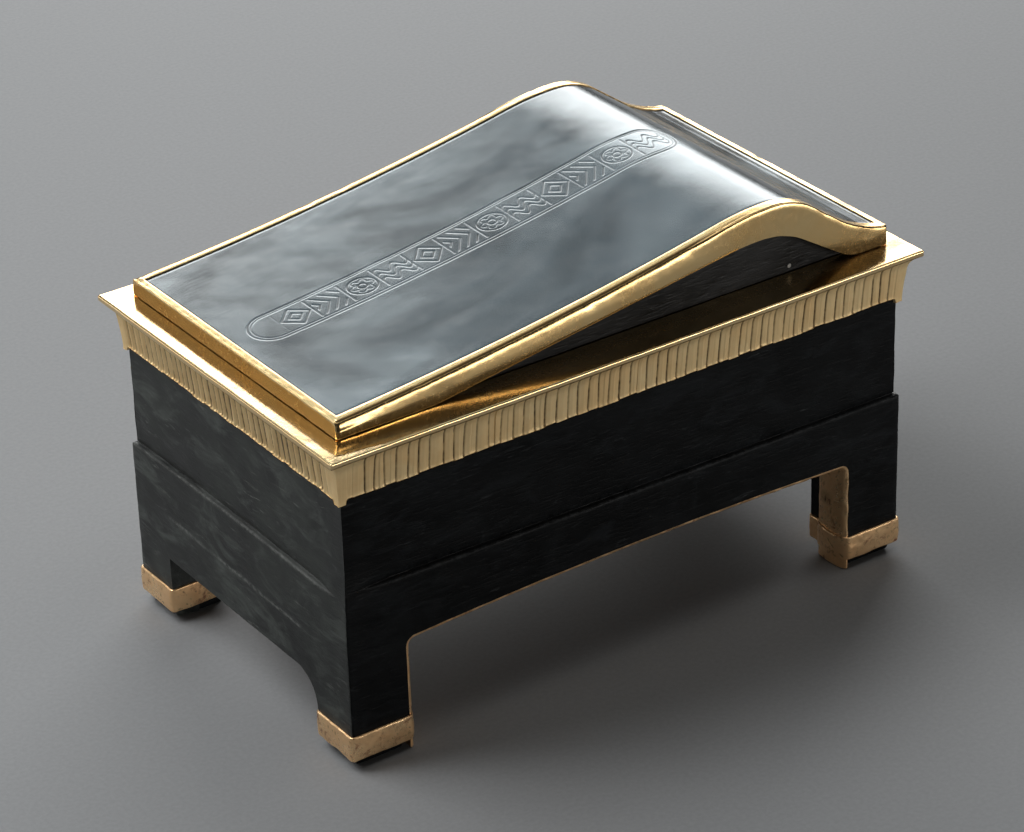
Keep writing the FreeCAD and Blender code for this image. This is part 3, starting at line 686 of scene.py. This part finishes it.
# ------- fluted cornice
COVE_FOOT_D = (PLATE_X - CASE_X) + STEP_IN - COVE_FOOT
BEND_D, BEND_Z = COVE_FOOT_D - COVE_BEND_H * math.tan(COVE_LEAN), BOARD_TOP + COVE_BEND_H
COVE_END = 2 * math.atan2(BEND_D - PLATE_LIP, PLATE_UNDER - BEND_Z) - COVE_LEAN
COVE_R = (PLATE_UNDER - BEND_Z) / (math.sin(COVE_END) - math.sin(COVE_LEAN))
COVE_D, COVE_Z = BEND_D - COVE_R * math.cos(COVE_LEAN), BEND_Z - COVE_R * math.sin(COVE_LEAN)
STRAIGHT_LEN = COVE_BEND_H / math.cos(COVE_LEAN)
COVE_LEN = STRAIGHT_LEN + COVE_R * (COVE_END - COVE_LEAN)


def cove(v):
    """Depth behind the plate's edge, height and facing angle, at a place 0 to 1 up the moulding."""
    run = np.clip(v, 0, 1) * COVE_LEN
    angle = COVE_LEAN + np.clip(run - STRAIGHT_LEN, 0, None) / COVE_R
    straight = run < STRAIGHT_LEN
    d = np.where(straight, COVE_FOOT_D - run * math.sin(COVE_LEAN), COVE_D + COVE_R * np.cos(angle))
    z = np.where(straight, BOARD_TOP + run * math.cos(COVE_LEAN), COVE_Z + COVE_R * np.sin(angle))
    return d, z, angle


def flute_marks(length, spacing, seed):
    """Places of the flutes' grooves along a side: hand-set, so not quite even."""
    r = np.random.default_rng(seed)
    count = int(length / spacing)
    steps = spacing * (1 + 0.10 * r.normal(size=count))
    marks = np.cumsum(steps)
    return marks - (marks[0] + marks[-1]) / 2, r.uniform(0.55, 1.0, count), r.normal(0, 0.12, count)


def make_cornice(piece, side, u_from, u_to, seed, spacing, groove_w, groove_deep, crowned):
    """One length of fluted sheet. u runs along its side and v, from 0 to 1, up the moulding."""
    half, offset = (PLATE_X, PLATE_Y) if side in ("front", "back") else (PLATE_Y, PLATE_X)
    marks, deep, lean = flute_marks(2 * half - 3.0, spacing, seed)
    us = spread(u_from, u_to, 0.16)
    vs = np.concatenate([[-0.02, 0.0, 0.025], np.linspace(0.06, 0.58, 8), np.linspace(0.64, 0.95, 8),
                         [0.98, 1.0]])
    u, v = np.meshgrid(us, vs, indexing="ij")
    d, z, angle = cove(v)

    # distance to the nearest groove, measured with each groove's own slight lean
    leaned = marks[None, None, :] + lean[None, None, :] * (v[..., None] - 0.5) * 1.6
    gap = u[..., None] - leaned
    nearest = np.argmin(np.abs(gap), axis=2)
    signed = np.take_along_axis(gap, nearest[..., None], axis=2)[..., 0]
    dist = np.abs(signed)
    strength = deep[nearest]
    flute = nearest + (signed > 0)
    hem = np.random.default_rng(seed + 50).uniform(0, 0.34, len(marks) + 2)[flute]
    tip = np.exp(-(half - COVE_FOOT_D - 0.1 - np.abs(u)).clip(0) / (0.3 if side == "front" else 0.7))
    droop = hem + hollows(0.10, seed + 1, 14, u) + 1.25 * tip
    z = z - droop * np.exp(-np.clip(v, 0, 1) / 0.08)

    plain_end = np.clip((half - np.abs(u) - 4.0) / 4.0, 0, 1)
    if side in ("front", "left"):
        corner = u + half if side == "front" else half - u
        plain_end = plain_end * np.clip((corner - 6.0) / 4.0, 0.12, 1)
    fade = np.clip((v + 0.02) / 0.04, 0, 1) * np.clip((0.97 - v) / 0.10, 0, 1)
    groove = np.exp(-(dist / groove_w) ** 2) * strength * plain_end * fade
    valley = 1 - (0.5 - 0.5 * np.cos(math.pi * np.clip(dist / (spacing / 2), 0, 1))) ** 1.7
    valley = valley * plain_end * fade
    inward = 0.06 + groove_deep * groove + crowned * valley
    inward = inward + hollows(0.03, seed + 3, 6, u, z) + hollows(0.018, seed + 4, 1.5, u, z)
    # each flute's face is turned a little its own way
    twist = np.random.default_rng(seed + 70).normal(0, 0.035, len(marks) + 2)[flute]
    inward = inward + np.abs(twist) + twist * signed * plain_end * fade
    inward = inward * np.clip(v / 0.05 + 0.4, 0, 1)
    normal_d, normal_z = np.cos(angle), np.sin(angle)
    d_out, z_out = d + normal_d * inward, z + normal_z * inward * (v < 0.9)
    closing_w = 7.0
    closing_from = half - closing_w
    far = np.abs(u) > closing_from

    def to_mitre(depth):
        """Near its ends the sheet closes up so that it stops at the diagonal joint."""
        squeezed = closing_from + (np.abs(u) - closing_from) / closing_w * (half - depth - closing_from)
        return np.where(far, squeezed, np.abs(u)) * np.sign(u)

    front = place(side, to_mitre(d_out), d_out, z_out, offset)
    thick = SHEET_T - 0.02
    back_d, back_z = d + normal_d * thick, z + normal_z * thick * (v < 0.98)
    back_d = np.maximum(back_d, d_out + 0.12)
    back = place(side, to_mitre(back_d), back_d, np.minimum(back_z, PLATE_UNDER), offset)
    quads = grid_quads(np.arange(u.size).reshape(u.shape))
    dirt_and_shade = np.clip(groove * 1.25, 0, 1) * (0.45 + 0.55 * (waves(seed + 5, 8, u, z) > -0.6))
    # Painted shadow: the top of the sheet, under the plate's edge, is darkened as if in the plate's shadow.
    dirt_and_shade = np.maximum(dirt_and_shade, 0.75 * np.clip((v - 0.93) / 0.05, 0, 1))
    points, quads = thicken(front, back, quads)
    return build(piece + "_fluted_sheet", points, quads, M_CORNICE, "case",
                 [piece + "_cornice_sheet"], {"cut": on_both(dirt_and_shade)}, sharp=60)


FRONT_FLUTES = dict(spacing=2.8, groove_w=0.18, groove_deep=0.26, crowned=0.10)
END_FLUTES = dict(spacing=2.3, groove_w=0.30, groove_deep=0.03, crowned=0.42)
SHEETS = (("front_left", "front", -PLATE_X, SEAM_X, FRONT_FLUTES),
          ("front_right", "front", SEAM_X + 0.05, PLATE_X, FRONT_FLUTES),
          ("back", "back", -PLATE_X, PLATE_X, FRONT_FLUTES),
          ("left", "left", -PLATE_Y, PLATE_Y, END_FLUTES),
          ("right", "right", -PLATE_Y, PLATE_Y, END_FLUTES))
for number, (piece, side, u_from, u_to, flutes) in enumerate(SHEETS):
    make_cornice(piece, side, u_from, u_to, 61 + number, **flutes)


# ------- top plate
def make_plate():
    """The top plate: a little hollow in places, with a nicked edge and the opening for the wells."""
    hole_x, hole_y = carrier_high[:2] + 0.3
    corner_r, edge_w = 0.3, 3.0
    near = np.array([0, 0.05, 0.13, 0.25, 0.4, 0.6, 1.0, 1.8, edge_w])
    beside_hole = (0, 0.12, 0.3, 0.6)
    xs, ys = (lines(spread(-half, half, 2.0), half - near, near - half,
                    *[s * (hole + gap) for s in (-1, 1) for gap in beside_hole])
              for half, hole in ((PLATE_X, hole_x), (PLATE_Y, hole_y)))
    x, y = np.meshgrid(xs, ys, indexing="ij")
    outer = np.minimum(PLATE_X - np.abs(x), PLATE_Y - np.abs(y))
    hole = np.maximum(np.abs(x) - hole_x, np.abs(y) - hole_y).clip(0)
    drop = round_over(outer, 0.45) + round_over(hole, 0.25)
    top = PLATE_TOP - drop - hollows(0.02, 71, 14, x, y) - hollows(0.01, 72, 4, x, y)
    bottom = PLATE_UNDER + round_over(outer, 0.35)
    nick = hollows(0.05, 73, 7, x, y) + hollows(0.03, 74, 2.5, x, y)
    nick = nick * np.exp(-outer / 0.8)
    # a lip of the front sheet is lapped over the plate's edge at its seam
    lap = np.exp(-((x - SEAM_X + 1.7) / 0.8) ** 4) * (y < 0)
    nick = nick * (1 - lap) + 0.10 * (1 - lap) * np.exp(-outer / 0.8) * (y < 0)
    cx = np.clip(np.abs(x) - (PLATE_X - corner_r), 0, None)
    cy = np.clip(np.abs(y) - (PLATE_Y - corner_r), 0, None)
    reach = np.hypot(cx, cy)
    pull = np.where(reach > corner_r, corner_r / np.maximum(reach, 1e-6), 1.0)
    px = np.where(cx > 0, PLATE_X - corner_r + cx * pull, np.abs(x)) - nick * (np.abs(x) > PLATE_X - edge_w)
    py = np.where(cy > 0, PLATE_Y - corner_r + cy * pull, np.abs(y)) - nick * (np.abs(y) > PLATE_Y - edge_w)
    px, py = px * np.sign(x), py * np.sign(y)
    front, back = np.stack([px, py, top], axis=-1), np.stack([px, py, bottom], axis=-1)
    mx, my = (xs[:-1] + xs[1:]) / 2, (ys[:-1] + ys[1:]) / 2
    inside = (np.abs(mx)[:, None] < hole_x) & (np.abs(my)[None, :] < hole_y)
    quads = grid_quads(np.arange(x.size).reshape(x.shape))[~inside.reshape(-1)]
    # painted shade: the plate is darkened brown along the front of the lid, where the lid's shadow falls
    beside = np.exp(-((y - LID_Y0 + 0.6) / 2.4) ** 2) * np.clip((x - LID_X0 - 12.0) / 24.0, 0, 1)
    lid_shade_painted = 0.8 * beside * (0.75 + 0.25 * waves(75, 9, x, y))
    # the cut attribute here carries only this painted shade
    points, quads, lid_shade_painted = drop_unused(*thicken(front, back, quads), on_both(lid_shade_painted, back=0))
    return build("gilt_top_plate", points, quads, M_PLATE, "case",
                 ["top_plate"], {"cut": lid_shade_painted}, sharp=50)


make_plate()


# ------- wells
FLANGE_R, FLANGE_T, MOUTH_R = 23.5, 1.8, 16.8
JAR_R, JAR_WALL, JAR_BASE_T = 21.0, 2.4, 3.5


def arc_points(x, z, radius, degrees):
    """Profile points on an arc about (x, z); 0 degrees points outward and 90 points down."""
    return [(x + radius * math.cos(a), z - radius * math.sin(a)) for a in np.radians(degrees)]


def make_jar(name, node):
    """A glass well: flanged, with rounded corners inside and out and a slight punt below."""
    low, high = box_mm(node)
    base, rim, seat, inner = low[2], high[2], high[2] - FLANGE_T, JAR_R - JAR_WALL
    flange_r, floor_z = (high[0] - low[0]) / 2, low[2] + JAR_BASE_T
    profile = [(0.02, base + 0.6), (9.0, base + 0.5), (JAR_R - 3.0, base + 0.05), (JAR_R - 1.6, base)]
    profile += arc_points(JAR_R - 1.6, base + 1.6, 1.6, [65, 40, 15, 0])
    profile += [(JAR_R, z) for z in np.linspace(base + 3, seat - 0.4, 8)]
    profile += [(JAR_R + 0.1, seat - 0.1), (JAR_R + 0.4, seat), (flange_r - 0.5, seat),
                (flange_r - 0.1, seat + 0.1), (flange_r, seat + 0.5), (flange_r, rim - 0.5),
                (flange_r - 0.15, rim - 0.12), (flange_r - 0.5, rim), (inner + 0.5, rim),
                (inner + 0.12, rim - 0.15), (inner, rim - 0.6)]
    profile += [(inner, z) for z in np.linspace(rim - 2, floor_z + 3.4, 8)]
    profile += arc_points(inner - 3.0, floor_z + 3.0, 3.0, [15, 35, 55, 75, 90])
    profile += [(9.0, floor_z - 0.05), (0.02, floor_z - 0.1)]
    points, quads = lathe(profile, 96)
    points = points + np.array([(low[0] + high[0]) / 2, 0, 0])
    return build(name, points, quads, M_GLASS, "case", [node], sharp=35)


def make_collar(name, node):
    """The turned gilt collar over a well's flange."""
    low, high = box_mm(node)
    r_out, seat, top = (high[0] - low[0]) / 2, low[2], high[2]
    lip = seat + FLANGE_T
    # the turned beads: (in from the outer edge, down from the top), then (out from the mouth, down)
    outer_beads = [(0.5, 0.25), (1.2, 0.05), (1.6, 0.05), (1.85, 0.3), (2.1, 0.05), (2.6, 0.12)]
    mouth_beads = [(3.2, 0.45), (1.9, 0.5), (1.6, 0.25), (1.1, 0), (0.6, 0.02), (0.15, 0.25), (0, 0.6)]
    profile = [(FLANGE_R + 0.02, seat), (r_out - 0.3, seat), (r_out - 0.05, seat + 0.12),
               (r_out, seat + 0.5), (r_out, seat + 1.1), (r_out - 0.22, seat + 1.35),
               (r_out - 0.08, seat + 1.6), (r_out - 0.1, lip + 0.1)]
    profile += [(r_out - inward, top - down) for inward, down in outer_beads]
    profile += [(MOUTH_R + out, top - down) for out, down in mouth_beads]
    profile += [(MOUTH_R, lip + 0.15), (MOUTH_R + 0.15, lip + 0.02), (FLANGE_R + 0.02, lip + 0.02)]
    points, quads = lathe(profile, 128)
    points = points + np.array([(low[0] + high[0]) / 2, 0, 0])
    return build(name, points, quads, M_WELL, "case", [node], sharp=50)


for hand in ("left", "right"):
    make_jar(hand + "_glass_well", hand + "_ink_jar")
    make_collar(hand + "_turned_collar", hand + "_well_collar")


# ------- lid rims
SECTION_W = 3.0          # the rim's section is drawn this wide, and squeezed where a band is narrower
GROOVE_IN = 1.06         # the groove's middle, in from the outer side


def rim_section(x, groove, round_side):
    """Points (inward distance, height) from the inner foot up, over the band and down the side.

    groove is 1 along the slope, where a groove sets the band off from the side, and 0 at the tail;
    round_side is 1 where the side is rounded over and 0 where it stands up to a crisp arris."""
    top, under = rim_top(x), np.maximum(rim_under(x), LID_BASE)
    high = top - under
    g, r = groove, round_side
    return [(SECTION_W, under + 0.0), (SECTION_W, top - 0.20), (2.93, top - 0.06), (2.75, top - 0.01),
            (2.3, top), (1.7, top - 0.01), (1.46, top - 0.02 - 0.02 * g),
            (1.32, top - 0.02 - 0.10 * g), (1.20, top - 0.03 - 0.32 * g),
            (GROOVE_IN, top - 0.03 - 0.44 * g), (0.90, top - 0.03 - 0.40 * g),
            (0.74, top - 0.03 - 0.27 * g - 0.02 * r), (0.52 + 0.08 * r, top - 0.03 - 0.25 * g - 0.14 * r),
            (0.12 + 0.34 * r, top - 0.06 - 0.62 * r), (0.03 + 0.29 * r, top - 0.16 - 0.94 * r),
            (0.18 * r, top - 0.20 - 0.16 * high * (1 - r) - r * np.minimum(0.42 * high, 1.7)),
            (0.07 * r, top - 0.50 * high), (0.0, top - 0.62 * high), (0.02 * r, top - 0.76 * high),
            (0.03 * r, under + 0.14 * high), (0.03 + 0.03 * r, under + 0.02 + 0.03 * high * r),
            (0.10 + 0.04 * r, under + 0.005 * high), (0.85, under + 0.0)]


def rim_outline():
    """Of each side: points along its outer edge, with rounded corners, and along its inner edge."""
    r = LID_CORNER_R
    corners = np.array([(LID_X0, LID_Y0), (LID_X1, LID_Y0), (LID_X1, LID_Y1), (LID_X0, LID_Y1)])
    inward = np.array([(1, 1), (-1, 1), (-1, -1), (1, -1)])
    widths = np.array([(w, RIM_W) for w in (LOW_RIM_W, HIGH_RIM_W, HIGH_RIM_W, LOW_RIM_W)])
    centres, inners = corners + inward * r, corners + inward * widths
    sides = {}
    for i, which in enumerate(("front", "high", "back", "low")):
        j = (i + 1) % 4
        ca, cb, ia, ib = centres[i], centres[j], inners[i], inners[j]
        length, inner_length = np.linalg.norm(corners[j] - corners[i]), np.linalg.norm(ib - ia)
        along = (corners[j] - corners[i]) / length
        out = np.array([along[1], -along[0]])
        pairs = []
        for t in np.linspace(-math.pi / 4, 0, 8):
            on_arc = r * (math.cos(t) * out + math.sin(t) * along)
            pairs.append((ca + on_arc, ia + along * 0.45 * (1 + t / (math.pi / 4))))
        for t in np.linspace(0, 1, int((length - 2 * r) / 0.9))[1:-1]:
            base = ca + (cb - ca) * t
            run = np.clip(np.dot(base - ia, along), 0.5, inner_length - 0.5)
            pairs.append((base + r * out, ia + along * run))
        for t in np.linspace(0, math.pi / 4, 8):
            on_arc = r * (math.cos(t) * out + math.sin(t) * along)
            pairs.append((cb + on_arc, ib - along * 0.45 * (1 - t / (math.pi / 4))))
        sides[which] = pairs
    return sides


def make_rim(which, name):
    """One length of the lid's gilt rim: the section swept from mitre to mitre."""
    pairs = rim_outline()[which]
    rows, cut = [], []
    for k, (outer, inner) in enumerate(pairs):
        groove = float(np.clip((36.0 - outer[0]) / 18.0, 0, 1))
        round_side = 0.25 + 0.75 * groove
        if which in ("low", "high"):
            # the ends have a plain section, which meets the long sides' one within the rounded corner
            turned = max(0.0, 1.0 - min(k, len(pairs) - 1 - k) / 7.0)
            groove, round_side = groove * turned, round_side * turned
        widths = np.array([w for w, _ in rim_section(outer[0], groove, round_side)])
        part = (widths / SECTION_W)[:, None]
        ring = outer * (1 - part) + inner * part
        heights = [z[i] for i, (_, z) in enumerate(rim_section(ring[:, 0], groove, round_side))]
        rows.append(np.column_stack([ring, heights]))
        dirt_and_shade = groove * np.exp(-((widths - GROOVE_IN) / 0.2) ** 2)
        # Painted shade: the rim's inner wall is darkened into a line against the panel, a painted reflection
        # of the dark panel.
        dirt_and_shade[:3] = [0.9, 0.9, 0.5]      # a dark line against the panel
        cut.append(dirt_and_shade)
    points = np.array(rows)
    # hammer dents push the metal towards the middle of the section, and die out at the mitres
    seed = {"front": 81, "high": 82, "back": 83, "low": 84}[which]
    x, y, z = points[..., 0], points[..., 1], points[..., 2]
    bruise = np.clip(waves(seed, 6.0, x, y, z * 2) - 0.55, 0, 1) * 0.35
    bruise = bruise + hollows(0.03, seed + 10, 2.2, x, y, z * 1.5)
    from_mitre = np.minimum(np.arange(len(points)), np.arange(len(points))[::-1])
    bruise = bruise * np.clip(from_mitre / 10.0, 0, 1)[:, None]
    toward = points.mean(axis=1, keepdims=True) - points
    toward = toward / np.linalg.norm(toward, axis=2, keepdims=True)
    free = np.array([w < 2.6 for w, _ in rim_section(0.0, 0.0, 0.0)])[None, :]
    points = points + toward * (bruise * free)[..., None] * 0.8
    points[..., 2] = np.maximum(points[..., 2], LID_BASE)
    index = np.arange(points.shape[0] * points.shape[1]).reshape(points.shape[:2])
    return build(name, points.reshape(-1, 3), grid_quads(index, wrap_cols=True), M_RIM, "lid",
                 ["lid_rim_" + which], {"cut": np.array(cut).reshape(-1)}, sharp=42,
                 caps=[index[0][::-1], index[-1]])


for which in ("front", "high", "back", "low"):
    make_rim(which, "rim_" + which)


# ------- lid panel and its ornament
BAND_X0, BAND_X1, BAND_HALF = -65.6, 46.8, 5.6
PITCH, CELLS_FROM, CELLS, REACH = 8.6, -58.6, 12, 3.6


def band(x, y):
    """Place across the ornament band, its half width, and distance inside its round-ended outline."""
    t = (x - BAND_X0) / (BAND_X1 - BAND_X0)
    v, half = y - 3.1 - 0.8 * t, BAND_HALF + 0.9 * t
    end_low, end_high = BAND_X0 + BAND_HALF, BAND_X1 - BAND_HALF - 0.9
    beyond = np.where(x < end_low, end_low - x, np.where(x > end_high, x - end_high, 0.0))
    return v, half, half - np.hypot(beyond, v)


def stroke(distance, width=0.17):
    return np.exp(-(distance / width) ** 2)


def ornament(x, y):
    """Depth of the engraved lines, 0 to 1: a plain repeating geometric border design."""
    v, half, inside = band(x, y)
    depth = np.maximum(stroke(inside), 0.6 * stroke(inside - 0.75, 0.13))
    room = half - 1.9
    cell = np.floor((x - CELLS_FROM) / PITCH)
    u = x - CELLS_FROM - (cell + 0.5) * PITCH
    kind = np.mod(cell, 4)
    a, b = np.abs(u) / REACH, np.abs(v) / room
    lozenges = np.minimum(np.abs(a + b - 1), np.abs(a + b - 0.45)) * 0.72 * REACH
    r, angle = np.hypot(u, v), np.arctan2(v, u)
    petals = np.abs(r - 1.6 - 1.2 * np.abs(np.cos(3 * angle))) + 0.05
    rings = np.minimum(np.minimum(np.abs(r - 3.4), np.abs(r - 1.0)), petals)
    zigzag = np.mod(u + np.abs(v) * 0.75 + 1.2, 2.4) - 1.2
    chevrons = np.where(np.abs(u) < REACH, np.abs(zigzag) * 0.8, 9.0)
    wave = v - 1.3 * np.sin(u * 2 * np.pi / 4.3)
    wavelines = np.minimum.reduce([np.abs(wave), np.abs(wave - 2.1), np.abs(wave + 2.1)]) * 0.7
    distance = np.select([kind == k for k in range(4)], [lozenges, chevrons, rings, wavelines], 9.0)
    motif = stroke(distance, 0.16) * np.clip((room + 0.25 - np.abs(v)) / 0.2, 0, 1)
    divider = stroke(np.abs(u) - PITCH / 2, 0.13) * 0.7 * (np.abs(v) < room + 0.6)
    valid = (cell >= 0) & (cell < CELLS) & (inside > 1.4)
    return np.maximum(depth, np.where(valid, np.maximum(motif, divider), 0.0))


PANEL_T = 2.15


def make_panel():
    """The curved panel: engraved in the middle, with scrape marks along its tail."""
    xs = lines(spread(PANEL_X0, -66.6, 0.5), spread(-66.6, 48.0, 0.19), spread(48.0, PANEL_X1, 0.35),
               [PANEL_X0 + 0.08, PANEL_X0 + 0.2, PANEL_X1 - 0.08, PANEL_X1 - 0.2])
    ys = lines(spread(PANEL_Y0, -4.4, 1.2), spread(-4.4, 11.2, 0.19), spread(11.2, PANEL_Y1, 1.2),
               [PANEL_Y0 + 0.08, PANEL_Y0 + 0.2, PANEL_Y1 - 0.08, PANEL_Y1 - 0.2])
    x, y = np.meshgrid(xs, ys, indexing="ij")
    border = np.minimum(np.minimum(x - PANEL_X0, PANEL_X1 - x), np.minimum(y - PANEL_Y0, PANEL_Y1 - y))
    cut = ornament(x, y) * (0.75 + 0.25 * waves(91, 11, x, y))
    relief = 0.15 * cut + round_over(border, 0.2)
    polish = hollows(0.015, 92, 16, x, y) + hollows(0.006, 93, 5, x, y)
    tail = np.clip((x - 47.0) / 5.0, 0, 1)
    ripple = waves(94, 3.2, x + 0.006 * y, count=5) + 0.5 * waves(95, 1.3, x + 0.004 * y, y * 0.02)
    scrape = tail * 0.045 * (1 + ripple)
    z = panel_top(x) - relief - polish - scrape
    nx, ny = x.shape
    under = [np.stack([xs, np.full(nx, at_y), panel_top(xs) - PANEL_T], axis=-1) for at_y in (ys[0], ys[-1])]
    points = np.vstack([np.stack([x, y, z], axis=-1).reshape(-1, 3)] + under)
    index = np.arange(nx * ny).reshape(nx, ny)
    a, b = nx * ny + np.arange(nx), nx * ny + nx + np.arange(nx)
    quads = [grid_quads(index), np.stack([a[:-1], b[:-1], b[1:], a[1:]], axis=1),
             np.stack([index[:-1, 0], a[:-1], a[1:], index[1:, 0]], axis=1),
             np.stack([index[:-1, -1], index[1:, -1], b[1:], b[:-1]], axis=1)]
    caps = [np.concatenate([index[0], [b[0], a[0]]]), np.concatenate([index[-1][::-1], [a[-1], b[-1]]])]
    values = np.concatenate([cut.reshape(-1), np.zeros(2 * nx)])
    return build("polished_lid_panel", points, np.vstack(quads), M_PANEL, "lid",
                 ["lid_panel"], {"cut": values}, sharp=50, caps=caps)


make_panel()


# ------- carried-over CAD nodes
def dress(node, material, bevel_mm=0.0):
    """A new material for a CAD node, and a small bevel on its sharp edges."""
    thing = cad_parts[node]
    for slot in thing.material_slots:
        slot.material = material
    if not thing.material_slots:
        thing.data.materials.append(material)
    if bevel_mm:
        bevel = thing.modifiers.new("arris", "BEVEL")
        bevel.width, bevel.segments = bevel_mm * MM, 2
        bevel.limit_method, bevel.angle_limit = "ANGLE", math.radians(40)


DRESS = [("leg_block", M_EBONY_SHADED, 0.15), ("floor_board", M_WOOD, 0.2), ("cornice_rail", M_WOOD, 0.2),
         ("well_carrier_plate", M_WELL, 0.12), ("lid_core", M_CORE, 0.25), ("lid_side_pin", M_PIN, 0.1),
         ("hinge_base_leaf", M_HINGE, 0.1), ("hinge_lid_leaf", M_HINGE, 0.1), ("hinge_pin", M_HINGE, 0.1),
         ("hinge_base_rivets", M_HINGE, 0.08), ("hinge_lid_screws", M_HINGE, 0.05)]
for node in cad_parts:
    for ending, material, bevel_mm in DRESS:
        if node.endswith(ending):
            dress(node, material, bevel_mm)


# ------- stage, lights, camera
def make_floor():
    mesh = bpy.data.meshes.new("floor")
    r = 4000 * MM
    mesh.from_pydata([(-r, -r, 0), (r, -r, 0), (r, r, 0), (-r, r, 0)], [], [(0, 1, 2, 3)])
    n = Nodes("pale_floor", Roughness=0.75, Specular_IOR_Level=0.2)
    fine = n.noise(n.scaled((1, 1, 1)), 900, 3, 0.6)
    n.into("Base Color", n.mix(n.span(fine, 0.3, 0.7), (0.26, 0.265, 0.27), (0.29, 0.295, 0.30)))
    mesh.materials.append(n.material)
    floor = bpy.data.objects.new("floor", mesh)
    bpy.context.scene.collection.objects.link(floor)


def soft_light(name, azimuth, elevation, distance, size, power, colour, aim=(0, 0, 0.05)):
    """Rectangular soft box, placed round the object and aimed at it or at the floor beside it."""
    az, el = math.radians(azimuth), math.radians(elevation)
    place_at = Vector((math.cos(az) * math.cos(el), math.sin(az) * math.cos(el), math.sin(el))) * distance
    place_at = place_at + Vector((0, 0, 0.05))
    data = bpy.data.lights.new(name, "AREA")
    data.shape, data.size, data.size_y = "RECTANGLE", *size
    data.energy, data.color = power, colour
    lamp = bpy.data.objects.new(name, data)
    lamp.location = place_at
    lamp.rotation_euler = (Vector(aim) - place_at).to_track_quat("-Z", "Y").to_euler()
    lamp.visible_camera = False
    bpy.context.scene.collection.objects.link(lamp)


make_floor()
soft_light("crest_strip", 54, 21.6, 0.9, (0.76, 0.34), 4.8, (1.0, 0.99, 0.975))
soft_light("sky_panel", 70, 50, 1.2, (1.0, 0.50), 1.3, (0.78, 0.92, 1.0))
soft_light("back_left_pool", 138, 56, 0.9, (0.5, 0.4), 4.0, (0.98, 0.99, 1.0))
soft_light("left_pool", 158, 40, 0.65, (0.25, 0.2), 0.9, (0.98, 0.99, 1.0), aim=(-0.25, 0.12, 0))
soft_light("left_reflector", 126, 29, 1.1, (0.9, 0.6), 0.27, (1.0, 0.92, 0.80))
soft_light("left_low_card", 138, 5, 1.1, (0.8, 0.24), 1.2, (1.0, 0.98, 0.95))
soft_light("right_low_card", -54, 0.5, 1.2, (1.0, 0.2), 4.2, (1.0, 0.97, 0.93))
soft_light("front_right_fill", -12, 46, 1.3, (0.6, 0.45), 0.7, (1.0, 0.98, 0.95))
soft_light("ceiling_card", -70, 78, 1.0, (0.7, 0.35), 1.0, (1.0, 0.98, 0.95))

world = bpy.data.worlds.new("studio")
bpy.context.scene.world = world
world.use_nodes = True
background = world.node_tree.nodes["Background"]
background.inputs["Color"].default_value = (0.62, 0.66, 0.70, 1)
background.inputs["Strength"].default_value = 0.02
bpy.context.scene.view_settings.view_transform = "Standard"

# The camera: its angles, and its place along its own three axes, in metres.
AZIMUTH, ELEVATION, ROLL = math.radians(-34.01), math.radians(28.99), math.radians(-1.91)
ACROSS, UPWARD, DISTANCE = -0.00247, 0.03637, 0.85912
LENS_MM, SENSOR_MM = 130.53515625, 36.0
back_axis = Vector((math.sin(AZIMUTH) * math.cos(ELEVATION), -math.cos(AZIMUTH) * math.cos(ELEVATION),
                    math.sin(ELEVATION)))
right_axis = Vector((math.cos(AZIMUTH), math.sin(AZIMUTH), 0))
up_axis = back_axis.cross(right_axis)
right_rolled = math.cos(ROLL) * right_axis + math.sin(ROLL) * up_axis
up_rolled = -math.sin(ROLL) * right_axis + math.cos(ROLL) * up_axis
camera_data = bpy.data.cameras.new("camera")
camera_data.sensor_width, camera_data.lens = SENSOR_MM, LENS_MM
camera = bpy.data.objects.new("camera", camera_data)
axes = Matrix((right_rolled, up_rolled, back_axis)).transposed().to_4x4()
axes.translation = right_rolled * ACROSS + up_rolled * UPWARD + back_axis * DISTANCE
camera.matrix_world = axes
bpy.context.scene.collection.objects.link(camera)
bpy.context.scene.camera = camera
